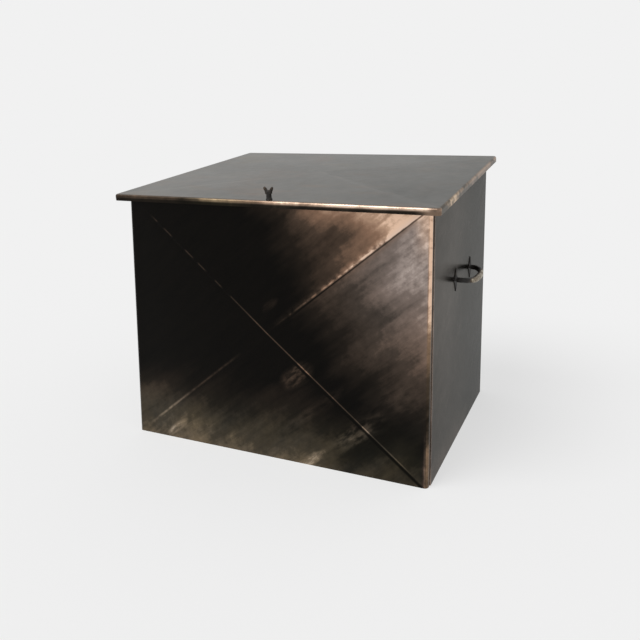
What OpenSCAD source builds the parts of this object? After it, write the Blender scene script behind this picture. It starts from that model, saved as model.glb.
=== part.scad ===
// Kindling box folded from steel sheet, with a sloping hinged lid.
// Millimetres. Z is up, the front faces -Y, and the origin is on the floor
// under the middle of the box.

/* [Box] */
// Width over the two side panels
box_w = 500; // [420:5:600]
// Depth over the front and back panels
box_d = 385; // [320:5:460]
// Height of the front panel
front_h = 398; // [350:1:430]
// Height of the back panel
back_h = 448; // [432:1:480]
// Thickness of the steel sheet
sheet = 1.5; // [1:0.1:2]
// Outer radius of the upright corner bends
corner_r = 6; // [4.5:0.5:9]
// Distance of a side panel's upright edges from the front and back faces
seam_set = 11; // [10:0.5:15]
// How far the corner flanges reach in, from the front and back faces
seam_lap = 32; // [20:1:36]
// Outer radius of the folded edges
fold_r = 3; // [2.5:0.25:4]
// Width of the flange turned in round the mouth
mouth_flange = 12; // [9:0.5:18]
// Height of the floor pan's turned-up edges
floor_flange = 14; // [10:1:25]
// Gap left between two flanges where they meet at a corner
relief = 2; // [1:0.25:4]
// How far the middle of the cross-broken front panel stands out
front_rise = 5.5; // [2:0.5:8]
// Plain border round the creases of the front panel
front_margin = 9; // [5:1:20]

/* [Lid] */
// How far the lid reaches past each side panel
lid_side_over = 14; // [11:0.5:22]
// How far the lid reaches past the front panel
lid_front_over = 17; // [16:0.5:26]
// How far the lid reaches past the back panel
lid_rear_over = 14; // [13.5:0.25:16]
// Depth of the lid's turned-down rim, over the sheet
rim_depth = 10; // [9:0.25:10.5]
// Radius of the lid's corners, seen from above
lid_corner_r = 6; // [5:0.5:12]
// Outer radius of the bend between the lid's top and its rim
lid_bend_r = 3.5; // [2.25:0.25:4]
// How far the middle of the cross-broken lid stands up
lid_rise = 3.5; // [1:0.5:6]
// Plain border round the creases of the lid
lid_margin = 14; // [13:0.5:24]
// Gap between the shut lid and the flanges of the mouth
seat_gap = 0.3; // [0.2:0.1:1]

/* [Hinges] */
// Distance of a hinge's middle from the side of the box
hinge_inset = 100; // [50:5:150]
// Width of a hinge
hinge_w = 60; // [48:2:80]
// Width of the knuckle that turns with the lid
lid_knuckle_w = 24; // [16:1:30]
// Radius of the knuckles
knuckle_r = 4; // [3.5:0.1:4.2]
// Radius of the hinge pin
pin_r = 2; // [1.5:0.1:2.4]
// Gap round the pin
pin_fit = 0.05; // [0.03:0.01:0.1]
// Gap between the ends of neighbouring knuckles
knuckle_gap = 0.3; // [0.2:0.1:0.6]
// Gap between the back panel and the knuckle that turns
swing_gap = 0.3; // [0.3:0.1:0.5]
// Thickness of the hinge leaves
leaf_t = 2; // [1.5:0.1:2.2]
// How far the leaf reaches down the back panel from the pin
leaf_h = 42; // [38:1:60]
// Depth of the pin under the lid's sheet
pin_drop = 7.7; // [7.3:0.1:8]
// Thickness of the heads at the ends of a pin
pin_head_t = 1.2; // [0.8:0.1:2]
// Radius of the heads at the ends of a pin
pin_head_r = 3; // [2.6:0.1:3.4]

/* [Rivets] */
// Radius of a rivet's shank
rivet_r = 2; // [1.5:0.1:2.5]
// Radius of a rivet's head
rivet_head_r = 3.8; // [3:0.1:4.5]
// Height of a rivet's domed head
rivet_head_h = 1.6; // [1:0.1:2.5]
// Distance of the two upper rivets of a hinge under its pin
rivet_top = 18; // [17.5:0.5:20]
// Distance of the lowest rivet of a hinge from the leaf's lower edge
rivet_edge = 8.5; // [6:0.5:9]
// Distance of the two upper rivets of a hinge from the leaf's sides
rivet_inset = 11; // [7:0.5:13]
// Gap round a shank in its hole
shank_fit = 0.1; // [0.05:0.05:0.2]

/* [Handles] */
// Height of the handles above the floor
handle_z = 270; // [200:5:300]
// Distance between the two feet of a handle
handle_span = 104; // [80:2:140]
// Distance of a handle's middle line from the side panel at its grip
handle_reach = 26; // [22:1:40]
// How far the grip hangs below the feet
handle_drop = 4; // [0:0.5:8]
// Radius of the bar at the feet
foot_r = 3.5; // [2.8:0.1:4]
// Radius of the bar at the grip
grip_r = 4; // [3:0.1:6]
// Radius of the riveted tenon behind each foot
tenon_r = 2.5; // [2:0.1:2.7]
// Height of a rosette
rosette_h = 36; // [28:1:50]
// Width of a rosette
rosette_w = 27; // [20:1:36]
// Distance of the hollows between a rosette's points from its middle
rosette_waist = 6; // [5.4:0.2:8]
// Thickness of a rosette round its tenon
rosette_t = 3; // [2:0.25:5]
// Thickness of a rosette along its edge
rosette_edge_t = 1; // [0.6:0.1:1.6]
// Radius of the washers inside the box
washer_r = 7; // [6:0.5:10]
// Thickness of the washers inside the box
washer_t = 1.2; // [0.8:0.1:2]
// Radius of the hammered head on a tenon
tenon_head_r = 4; // [3.8:0.1:5]
// Height of the hammered head on a tenon
tenon_head_h = 2; // [1.2:0.1:3]

/* [Knob] */
// Distance of the knob to the right of the middle
knob_x = 10; // [-60:5:60]
// Distance of the knob behind the lid's front edge
knob_set = 9; // [8.5:0.25:10]
// Height of the knob
knob_h = 19.5; // [16:0.5:28]
// Radius of the knob's stem
stem_r = 4; // [3.5:0.1:4.4]
// Radius of the foot of the knob
knob_foot_r = 4.8; // [4.5:0.1:5]
// Distance between the tips of the split top, middle to middle
horn_spread = 14; // [10:0.5:20]
// Radius of the screw that holds the knob
screw_r = 2; // [1.5:0.1:2.2]
// Radius of the screw's head
screw_head_r = 3.6; // [3.2:0.1:4.2]
// Height of the screw's head
screw_head_h = 2.2; // [1.5:0.1:3]
// Depth of the tapped hole in the stem
tap_depth = 7; // [5:0.5:8]
// Radius of the washer under the lid
knob_washer_r = 5; // [4.6:0.1:5.4]
// Thickness of the washer under the lid
knob_washer_t = 1; // [0.6:0.1:1.4]

/* [Hidden] */
$fn = 48;

half_w = box_w / 2;
half_d = box_d / 2;
// Axes of the upright bends
bend_x = half_w - sheet - corner_r;
// Slope of the mouth and the lid, and the length of the mouth along it
tilt = atan((back_h - front_h) / box_d);
mouth_l = box_d / cos(tilt);
// How far a cutter runs past the faces that it cuts
past = 5;

// Lid sizes, along its slope from the plane of the front panel
lid_half_w = half_w + lid_side_over;
lid_y0 = -lid_front_over;
lid_y1 = mouth_l + lid_rear_over;

// Hinge pin: its place behind the back panel, on the slope of the lid and over the floor
pin_out = knuckle_r + swing_gap;
pin_y = half_d + pin_out;
pin_v = (box_d + pin_out + (seat_gap - pin_drop) * sin(tilt)) / cos(tilt);
hinge_x = half_w - hinge_inset;
pin_z = front_h + pin_v * sin(tilt) + (seat_gap - pin_drop) * cos(tilt);
// Rivets of a leaf, across it and down from its pin
rivet_side = hinge_w / 2 - rivet_inset;
rivet_places = [[-rivet_side, rivet_top], [rivet_side, rivet_top], [0, leaf_h - rivet_edge]];
// Room under the knuckle that turns, and between its strap and the rim's bend
knuckle_room = 1;
strap_room = 0.5;
bend_room = 0.2;

// Flats that make up a fold round the mouth
fold_steps = 7;

// Outline of the bow: 1 is an ellipse, less is squarer
bow_power = 0.8;
bow_steps = 28;
bow_sides = 12;
// Flat round a foot on its rosette
foot_rim = 0.6;
// Turned foot of the knob, and the shallow waist of its stem
foot_edge_h = 1;
foot_top_h = 2;
stem_waist = 0.2;
// Where the split starts over the tapped hole, and the crown between the horns
split_start = 1;
crown_h = 4.4;
shoulder_h = 2.5;
// A horn: distance from the middle at its root, lean at its tip, and how it bends away
horn_root = 2.4;
horn_lean = 48;
horn_bend = 1.5;
// Half the width and half the depth of a horn, at its root and at its tip
horn_half_w = [2.3, 1.6];
horn_half_d = [3.6, 1.9];
horn_steps = 8;
horn_sides = 12;
// Slot of the knob's screw, and the room past its end in the tapped hole
slot_w = 1;
tap_room = 1;

function unit(v) = v / norm(v);

// Bronze, iron and steel colours
bronze = [0.24, 0.19, 0.15];
grey_bronze = [0.40, 0.40, 0.38];
iron = [0.16, 0.15, 0.13];
steel = [0.55, 0.53, 0.50];

// A quarter ring of sheet between the +X and +Y axes
module bend_2d(r) {
    intersection() {
        difference() {
            circle(r);
            circle(r - sheet);
        }
        square(r);
    }
}

// A rectangle of sheet in XY, pressed up to a point in its middle
module cross_sheet(w, h, rise) {
    base = [[0, 0], [w, 0], [w, h], [0, h], [w / 2, h / 2]];
    points = concat([for (i = [0:4]) [base[i][0], base[i][1], i == 4 ? rise : 0]],
        [for (i = [0:4]) [base[i][0], base[i][1], sheet + (i == 4 ? rise : 0)]]);
    under = [for (i = [0:3]) [i, (i + 1) % 4, 4]];
    over = [for (i = [0:3]) [(i + 1) % 4 + 5, i + 5, 9]];
    edges = [for (i = [0:3]) [(i + 1) % 4, i, i + 5, (i + 1) % 4 + 5]];
    polyhedron(points, concat(under, over, edges));
}

// A closed tube through rings of points, each ring clockwise seen along the tube
module tube_through(rings) {
    n = len(rings[0]);
    last = (len(rings) - 1) * n;
    points = [for (r = rings) each r];
    sides = [for (j = [0:n:last - 1], i = [0:n - 1], k = [0:1]) k == 0
        ? [j + i, j + (i + 1) % n, j + n + i]
        : [j + (i + 1) % n, j + n + (i + 1) % n, j + n + i]];
    near = [[for (i = [n - 1:-1:0]) i]];
    far = [[for (i = [0:n - 1]) last + i]];
    polyhedron(points, concat(sides, near, far));
}

// Places a child in the plane of the mouth, on the front panel's outer face
module at_mouth() {
    translate([0, -half_d, front_h]) rotate([tilt, 0, 0]) children();
}

// Places a child on the underside of the shut lid
module at_lid() {
    at_mouth() translate([0, 0, seat_gap]) children();
}

// Front and back panels ------------------------------------------------

// Plan of a folded wall: flat, two upright bends and two corner flanges
module wall_plan() {
    translate([-bend_x, 0]) square([2 * bend_x, sheet]);
    for (side = [0, 1]) mirror([side, 0, 0]) {
        translate([bend_x, corner_r]) mirror([0, 1, 0]) bend_2d(corner_r);
        translate([half_w - 2 * sheet, corner_r]) square([sheet, seam_lap - corner_r]);
    }
}

// Section of the fold round the mouth: out along the outer arc, back along the inner one
function fold_outline(height, lean) =
    let(turn = 90 - lean,
        setback = fold_r * tan(turn / 2),
        along = [cos(lean), sin(lean)],
        down = [sin(lean), -cos(lean)],
        corner = [0, height],
        centre = [fold_r, height - setback],
        arc = function(r, i) centre + r * [-cos(turn * i / fold_steps), sin(turn * i / fold_steps)])
    concat([for (i = [0:fold_steps]) arc(fold_r, i)],
        [corner + mouth_flange * along, corner + mouth_flange * along + sheet * down],
        [for (i = [fold_steps:-1:0]) arc(fold_r - sheet, i)]);

// A folded wall with its outer face at Y = 0; lean is the mouth's slope seen from it
module folded_wall(height, lean) {
    turn = 90 - lean;
    setback = fold_r * tan(turn / 2);
    fold_half_w = bend_x - relief;
    flange_top = height - 2 * fold_r - seam_lap * tan(tilt);
    difference() {
        linear_extrude(height - sheet) wall_plan();
        // room for the fold round the mouth
        translate([-fold_half_w, -past, height - setback])
            cube([2 * fold_half_w, sheet + past + relief, setback + past]);
        for (side = [0, 1]) mirror([side, 0, 0])
            // the corner flanges stop short of the mouth
            translate([bend_x, corner_r, flange_top]) cube([corner_r, seam_lap, height]);
    }
    rotate([90, 0, 90]) translate([0, 0, -fold_half_w])
        linear_extrude(2 * fold_half_w) polygon(fold_outline(height, lean));
}

module front_panel() color(bronze) translate([0, -half_d, 0]) {
    window_w = 2 * (bend_x - front_margin);
    window_h = front_h - 2 * front_margin - fold_r;
    difference() {
        folded_wall(front_h, tilt);
        translate([-window_w / 2, -past, front_margin]) cube([window_w, sheet + 2 * past, window_h]);
    }
    translate([-window_w / 2, sheet, front_margin]) rotate([90, 0, 0])
        cross_sheet(window_w, window_h, front_rise);
}

module back_panel() color(bronze) difference() {
    translate([0, half_d, 0]) mirror([0, 1, 0]) folded_wall(back_h, -tilt);
    at_rivets() cylinder(r = rivet_r + shank_fit, h = 2 * past, center = true);
}

// Side panels ----------------------------------------------------------

// The right side panel: a tall L section run up the slope, then trimmed
module side_panel() {
    side_half_d = half_d - seam_set;
    difference() {
        intersection() {
            at_mouth() rotate([90, 0, 0]) translate([0, 0, -mouth_l - back_h])
                linear_extrude(mouth_l + 2 * back_h) {
                    translate([half_w - fold_r, -fold_r]) bend_2d(fold_r);
                    translate([half_w - sheet, -2 * back_h]) square([sheet, 2 * back_h - fold_r]);
                    translate([half_w - mouth_flange, -sheet]) square([mouth_flange - fold_r, sheet]);
                }
            translate([0, -side_half_d, 0]) cube([box_w, 2 * side_half_d, 2 * back_h]);
        }
        // the flange stops short of the front and back ones
        at_mouth() for (y = [-back_h, mouth_l - mouth_flange - relief])
            translate([half_w - mouth_flange - past, y, -fold_r])
                cube([mouth_flange + past - fold_r, back_h + mouth_flange + relief, 2 * fold_r]);
        at_feet() translate([0, 0, -past]) cylinder(r = tenon_r + shank_fit, h = 3 * past);
    }
}

module right_side_panel() color(grey_bronze) side_panel();

module left_side_panel() color(grey_bronze) mirror([1, 0, 0]) side_panel();

// Floor pan ------------------------------------------------------------

module floor_pan() color(bronze) {
    reach_x = half_w - sheet;
    reach_y = half_d - sheet;
    // half lengths of the turned-up edges, clear of the bends and corner flanges
    side_run = half_d - seam_lap - relief;
    end_run = bend_x - relief;
    for (run = [[reach_x, side_run, 0], [reach_y, end_run, 90],
            [reach_x, side_run, 180], [reach_y, end_run, 270]])
        rotate([90, 0, run[2]]) translate([0, 0, -run[1]]) linear_extrude(2 * run[1]) {
            translate([run[0] - fold_r, fold_r]) mirror([0, 1, 0]) bend_2d(fold_r);
            translate([run[0] - sheet, fold_r]) square([sheet, floor_flange - fold_r]);
        }
    linear_extrude(sheet) {
        square(2 * [reach_x - fold_r, side_run], center = true);
        square(2 * [end_run, reach_y - fold_r], center = true);
        // between the corner flanges
        square(2 * [reach_x - sheet - seat_gap, half_d - corner_r - relief], center = true);
    }
}

// Lid ------------------------------------------------------------------

// Section through the lid's edge, from the corner centre outwards
module rim_2d() {
    flat = lid_corner_r - lid_bend_r;
    square([flat, sheet]);
    translate([flat, sheet - lid_bend_r]) bend_2d(lid_bend_r);
    translate([lid_corner_r - sheet, sheet - rim_depth]) square([sheet, rim_depth - lid_bend_r]);
}

module lid_pan() {
    inner_x = lid_half_w - lid_corner_r;
    inner_y0 = lid_y0 + lid_corner_r;
    inner_y1 = lid_y1 - lid_corner_r;
    middle = (inner_y0 + inner_y1) / 2;
    inner_y = (inner_y1 - inner_y0) / 2;
    window = [2 * (lid_half_w - lid_margin), lid_y1 - lid_y0 - 2 * lid_margin];
    translate([0, middle, 0]) {
        // runs of rim: [distance of the corner centres, half length, turn]
        for (run = [[inner_x, inner_y, 0], [inner_y, inner_x, 90],
                [inner_x, inner_y, 180], [inner_y, inner_x, 270]])
            rotate([0, 0, run[2]]) translate([run[0], run[1], 0]) rotate([90, 0, 0])
                linear_extrude(2 * run[1]) rim_2d();
        for (x = [0, 1], y = [0, 1]) mirror([x, 0, 0]) mirror([0, y, 0])
            translate([inner_x, inner_y, 0]) rotate_extrude(angle = 90) rim_2d();
        linear_extrude(sheet) difference() {
            square([2 * inner_x, 2 * inner_y], center = true);
            square(window, center = true);
        }
        translate(-window / 2) cross_sheet(window[0], window[1], lid_rise);
    }
}

module lid_panel() color(grey_bronze) at_lid() difference() {
    lid_pan();
    at_knob() cylinder(r = screw_r + shank_fit, h = 4 * past, center = true);
}

// Knob -----------------------------------------------------------------

module at_knob() {
    translate([knob_x, lid_y0 + knob_set, 0]) children();
}

function between(pair, s) = pair[0] + (pair[1] - pair[0]) * s;

// One horn of the split top: rings along a curve that leans outwards
function horn_ring(s) =
    let(x = between([horn_root, horn_spread / 2], pow(s, horn_bend)),
        tip_z = knob_h - horn_half_w[1] * sin(horn_lean),
        z = between([tap_depth + split_start, tip_z], s),
        lean = horn_lean * s,
        wide = between(horn_half_w, s),
        deep = between(horn_half_d, s))
    [for (i = [0:horn_sides - 1]) let(a = 360 * i / horn_sides)
        [x + wide * cos(a) * cos(lean), -deep * sin(a), z - wide * cos(a) * sin(lean)]];

module lid_knob() color(iron) at_lid() at_knob() translate([0, 0, sheet]) difference() {
    union() {
        rotate_extrude() polygon([[0, 0], [knob_foot_r, 0], [knob_foot_r, foot_edge_h],
            [stem_r, foot_top_h], [stem_r - stem_waist, tap_depth],
            [stem_r, tap_depth + shoulder_h], [0, tap_depth + crown_h]]);
        for (side = [0, 1]) mirror([side, 0, 0])
            tube_through([for (j = [0:horn_steps]) horn_ring(j / horn_steps)]);
    }
    translate([0, 0, -past]) cylinder(r = screw_r + shank_fit, h = tap_depth + past);
}

module knob_washer() color(steel) at_lid() at_knob() translate([0, 0, -knob_washer_t])
    difference() {
        cylinder(r = knob_washer_r, h = knob_washer_t);
        translate([0, 0, -past]) cylinder(r = screw_r + shank_fit, h = 3 * past);
    }

module knob_screw() color(steel) at_lid() at_knob() {
    shank = knob_washer_t + sheet + tap_depth - tap_room;
    translate([0, 0, -knob_washer_t]) {
        cylinder(r = screw_r, h = shank);
        difference() {
            translate([0, 0, -screw_head_h]) cylinder(r = screw_head_r, h = screw_head_h);
            translate([-slot_w / 2, -past, -screw_head_h - past])
                cube([slot_w, 2 * past, past + screw_head_h / 2]);
        }
    }
}

// Hinges ---------------------------------------------------------------

// Places a child on the pin's axis; hand is -1 for the left hinge, 1 for the right
module at_pin(hand) {
    translate([hand * hinge_x, pin_y, pin_z]) children();
}

// Places a child at each rivet on the back panel's outer face, pointing out
module at_rivets() {
    for (hand = [-1, 1], place = rivet_places)
        translate([hand * hinge_x + place[0], half_d, pin_z - place[1]])
            rotate([-90, 0, 0]) children();
}

// A bar along X, centred
module bar(r, w) {
    rotate([0, 90, 0]) cylinder(r = r, h = w, center = true);
}

module back_leaf(hand) {
    knuckle_w = (hinge_w - lid_knuckle_w) / 2 - knuckle_gap;
    gap_w = lid_knuckle_w + 2 * knuckle_gap;
    difference() {
        at_pin(hand) difference() {
            union() {
                for (side = [-1, 1]) translate([side * (hinge_w - knuckle_w) / 2, 0, 0])
                    bar(knuckle_r, knuckle_w);
                translate([-hinge_w / 2, -pin_out, -leaf_h]) cube([hinge_w, leaf_t, leaf_h]);
            }
            bar(pin_r + pin_fit, hinge_w + past);
            // room for the knuckle that turns
            translate([-gap_w / 2, -pin_out - past, -knuckle_r - knuckle_room])
                cube([gap_w, past + 2 * pin_out, knuckle_r + knuckle_room + past]);
        }
        at_rivets() cylinder(r = rivet_r + shank_fit, h = 2 * past, center = true);
    }
}

module left_hinge_back_leaf() color(iron) back_leaf(-1);

module right_hinge_back_leaf() color(iron) back_leaf(1);

// Knuckle, strap and foot, in the slope of the lid
module lid_leaf(hand) {
    strap_y = knuckle_r - leaf_t - strap_room;
    foot_y = lid_y1 - lid_bend_r - bend_room - pin_v;
    at_pin(hand) rotate([tilt, 0, 0]) difference() {
        union() {
            bar(knuckle_r, lid_knuckle_w);
            translate([-lid_knuckle_w / 2, strap_y, 0]) cube([lid_knuckle_w, leaf_t, pin_drop]);
            translate([-lid_knuckle_w / 2, strap_y, pin_drop - leaf_t])
                cube([lid_knuckle_w, foot_y - strap_y, leaf_t]);
        }
        bar(pin_r + pin_fit, hinge_w);
    }
}

module left_hinge_lid_leaf() color(iron) lid_leaf(-1);

module right_hinge_lid_leaf() color(iron) lid_leaf(1);

// Pin with a hammered head on each end
module hinge_pin(hand) {
    at_pin(hand) {
        bar(pin_r, hinge_w + pin_head_t);
        for (side = [-1, 1]) translate([side * (hinge_w + pin_head_t) / 2, 0, 0])
            bar(pin_head_r, pin_head_t);
    }
}

module left_hinge_pin() color(steel) hinge_pin(-1);

module right_hinge_pin() color(steel) hinge_pin(1);

module hinge_rivets() color(steel) at_rivets() {
    translate([0, 0, -sheet]) cylinder(r = rivet_r, h = sheet + leaf_t);
    translate([0, 0, leaf_t]) dome(rivet_head_r, rivet_head_h);
    translate([0, 0, -sheet]) mirror([0, 0, 1]) dome(rivet_head_r, rivet_head_h);
}

// A low dome on the XY plane
module dome(r, h) {
    ball = (r * r + h * h) / (2 * h);
    intersection() {
        translate([0, 0, h - ball]) sphere(ball);
        cylinder(r = r + past, h = h + past);
    }
}

// Handles --------------------------------------------------------------

// Places a child at each foot on the right side panel's outer face, pointing out
module at_feet(ends = [-1, 1]) {
    for (end = ends) translate([half_w, end * handle_span / 2, handle_z])
        rotate([0, 90, 0]) children();
}

// Middle line of the bow, from the front foot at 0 to the rear foot at 180, and its heading
function bow_middle(a) = [half_w + rosette_t + (handle_reach - rosette_t) * pow(sin(a), bow_power),
    -sign(cos(a)) * handle_span / 2 * pow(abs(cos(a)), bow_power),
    handle_z - handle_drop * pow(sin(a), 2)];

function bow_heading(a) =
    let(across = sin(a) * abs(cos(a)))
    unit([(handle_reach - rosette_t) * sign(cos(a)) * pow(abs(cos(a)), 2 - bow_power),
        handle_span / 2 * pow(sin(a), 2 - bow_power),
        -2 * handle_drop * sign(cos(a)) * pow(across, 2 - bow_power) / bow_power]);

function bow_ring(a) =
    let(heading = bow_heading(a),
        side = unit([heading[1], -heading[0], 0]),
        top = cross(side, heading),
        r = foot_r + (grip_r - foot_r) * pow(sin(a), 2))
    [for (i = [0:bow_sides - 1]) let(b = 360 * i / bow_sides)
        bow_middle(a) + r * cos(b) * side + r * sin(b) * top];

// Forged bow with a tenon behind each foot, hammered over the washers
module handle_bow() {
    tenon_l = rosette_t + sheet + washer_t;
    tube_through([for (j = [0:bow_steps]) bow_ring(180 * j / bow_steps)]);
    at_feet() {
        translate([0, 0, rosette_t - tenon_l]) cylinder(r = tenon_r, h = tenon_l);
        translate([0, 0, rosette_t - tenon_l]) mirror([0, 0, 1]) dome(tenon_head_r, tenon_head_h);
    }
}

module right_handle_bow() color(iron) handle_bow();

module left_handle_bow() color(iron) mirror([1, 0, 0]) handle_bow();

// Four-pointed rosette: thin edge, hammered up towards a flat round its tenon
module rosette(end) {
    reach = [rosette_h / 2, rosette_waist, rosette_w / 2, rosette_waist];
    rim = [for (i = [0:7]) reach[i % 4] * [cos(45 * i), sin(45 * i)]];
    flat = [for (i = [0:7]) (foot_r + foot_rim) * [cos(45 * i), sin(45 * i)]];
    points = concat([for (p = rim) [p[0], p[1], 0]], [for (p = rim) [p[0], p[1], rosette_edge_t]],
        [for (p = flat) [p[0], p[1], rosette_t]]);
    walls = [for (j = [0, 8], i = [0:7], k = [0:1]) k == 0
        ? [j + i, j + 8 + i, j + (i + 1) % 8]
        : [j + (i + 1) % 8, j + 8 + i, j + 8 + (i + 1) % 8]];
    at_feet([end]) difference() {
        polyhedron(points, concat(walls, [[for (i = [0:7]) i]], [[for (i = [7:-1:0]) 16 + i]]));
        translate([0, 0, -past]) cylinder(r = tenon_r + shank_fit, h = 3 * past);
    }
}

module right_handle_front_rosette() color(iron) rosette(-1);

module right_handle_rear_rosette() color(iron) rosette(1);

module left_handle_front_rosette() color(iron) mirror([1, 0, 0]) rosette(-1);

module left_handle_rear_rosette() color(iron) mirror([1, 0, 0]) rosette(1);

module handle_washers() {
    at_feet() translate([0, 0, -sheet - washer_t]) difference() {
        cylinder(r = washer_r, h = washer_t);
        translate([0, 0, -past]) cylinder(r = tenon_r + shank_fit, h = 3 * past);
    }
}

module right_handle_washers() color(steel) handle_washers();

module left_handle_washers() color(steel) mirror([1, 0, 0]) handle_washers();

front_panel();
back_panel();
left_side_panel();
right_side_panel();
floor_pan();
lid_panel();
lid_knob();
knob_screw();
knob_washer();
left_hinge_back_leaf();
right_hinge_back_leaf();
left_hinge_lid_leaf();
right_hinge_lid_leaf();
left_hinge_pin();
right_hinge_pin();
hinge_rivets();
left_handle_bow();
right_handle_bow();
left_handle_front_rosette();
left_handle_rear_rosette();
right_handle_front_rosette();
right_handle_rear_rosette();
left_handle_washers();
right_handle_washers();
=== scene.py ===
"""The kindling box's finished look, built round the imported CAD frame.

Metres throughout. +X is to the right, +Y to the back where the lid is hinged, +Z is up, and the
floor is at Z = 0.
"""

import logging
import math
from dataclasses import dataclass
from enum import Enum
from typing import Sequence, Union

import bmesh
import bpy
from mathutils import Matrix, Vector, noise


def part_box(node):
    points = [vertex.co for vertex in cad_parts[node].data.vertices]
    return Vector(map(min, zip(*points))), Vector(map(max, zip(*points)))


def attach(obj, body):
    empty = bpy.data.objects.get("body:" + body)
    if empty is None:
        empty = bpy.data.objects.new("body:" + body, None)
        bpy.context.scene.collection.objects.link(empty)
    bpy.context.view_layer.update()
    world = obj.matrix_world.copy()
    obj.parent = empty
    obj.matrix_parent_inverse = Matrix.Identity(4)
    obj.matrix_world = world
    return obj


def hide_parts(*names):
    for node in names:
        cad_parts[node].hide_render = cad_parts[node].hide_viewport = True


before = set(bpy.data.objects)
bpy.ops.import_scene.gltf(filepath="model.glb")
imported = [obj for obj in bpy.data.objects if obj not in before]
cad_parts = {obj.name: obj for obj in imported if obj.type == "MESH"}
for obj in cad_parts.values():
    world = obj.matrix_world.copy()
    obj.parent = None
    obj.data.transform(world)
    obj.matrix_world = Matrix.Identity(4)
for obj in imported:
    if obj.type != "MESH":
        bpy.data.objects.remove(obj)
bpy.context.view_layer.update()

log = logging.getLogger("kindling_box")

MM = 0.001
SHARP = math.radians(32)
SAME_POINT = 1e-6
CAD_EASE = 0.35 * MM
SMALL_EASE = 0.15 * MM
LEAF_EASE = 0.3 * MM


class Body(Enum):
    """The two bodies of the frame that pieces ride on."""

    BOX = "box"
    LID = "lid"


class Slot(Enum):
    """The record's material slots."""

    FRONT = "front_patina"
    WALL = "wall_patina"
    LID = "lid_patina"
    IRON = "forged_iron"
    STEEL = "steel"


class Hand(Enum):
    """The side of the box that a handle or hinge is on."""

    LEFT = -1
    RIGHT = 1

    @property
    def word(self) -> str:
        """The side's name as it stands in node names."""
        return self.name.lower()


class Facing(Enum):
    """The way a folded wall faces, as the sign of its outward Y."""

    FRONT = -1
    BACK = 1


class Foot(Enum):
    """A handle's foot, by its order from the front."""

    FRONT = 0
    REAR = 1


# Material sketches -------------------------------------------------------

Number = Union["Field", float]
Colour = tuple[float, float, float]
Shade = Union["Field", Colour]
Row = tuple[tuple[float, Colour], ...]


class Field:
    """A value that one of a material's nodes gives, with the arithmetic of plain numbers."""

    def __init__(self, sketch: "Sketch", socket: bpy.types.NodeSocket) -> None:
        """Keeps the node's output and the sketch that it is part of.

        Args:
            sketch: The material sketch that owns the node.
            socket: The node's output.
        """
        self.sketch = sketch
        self.socket = socket

    def __add__(self, other: Number) -> "Field":
        """The sum."""
        return self.sketch.math("ADD", self, other)

    def __sub__(self, other: Number) -> "Field":
        """The difference."""
        return self.sketch.math("SUBTRACT", self, other)

    def __rsub__(self, other: Number) -> "Field":
        """The difference, with the plain number first."""
        return self.sketch.math("SUBTRACT", other, self)

    def __mul__(self, other: Number) -> "Field":
        """The product."""
        return self.sketch.math("MULTIPLY", self, other)

    def __truediv__(self, other: Number) -> "Field":
        """The quotient."""
        return self.sketch.math("DIVIDE", self, other)

    __radd__ = __add__
    __rmul__ = __mul__

    def most(self, other: Number) -> "Field":
        """The larger of the two."""
        return self.sketch.math("MAXIMUM", self, other)

    def least(self, other: Number) -> "Field":
        """The smaller of the two."""
        return self.sketch.math("MINIMUM", self, other)

    def melted(self, other: Number, width: float) -> "Field":
        """The larger of the two, with a soft change from one to the other.

        Args:
            other: The other value.
            width: Over how much of a difference they melt into one another.

        Returns:
            The larger value.
        """
        return self.sketch.math("SMOOTH_MAX", self, other, width)

    def size(self) -> "Field":
        """The value without its sign."""
        return self.sketch.math("ABSOLUTE", self)

    def ease(self, low: float, high: float) -> "Field":
        """A soft step.

        Args:
            low: Where it is still 0; it may be the larger of the two.
            high: Where it has reached 1.

        Returns:
            The step's height.
        """
        node = self.sketch.node("ShaderNodeMapRange", interpolation_type="SMOOTHSTEP")
        self.sketch.put(node.inputs["Value"], self)
        node.inputs["From Min"].default_value = min(low, high)
        node.inputs["From Max"].default_value = max(low, high)
        node.inputs["To Min"].default_value = 0.0 if low < high else 1.0
        node.inputs["To Max"].default_value = 1.0 if low < high else 0.0
        return Field(self.sketch, node.outputs["Result"])

    def bell(self, middle: float, half: float) -> "Field":
        """A soft hump, 1 at the middle and 0 from half away.

        Args:
            middle: Where the hump stands.
            half: Half its width at the foot.

        Returns:
            The hump's height.
        """
        return (self - middle).size().ease(half, 0.0)


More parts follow.
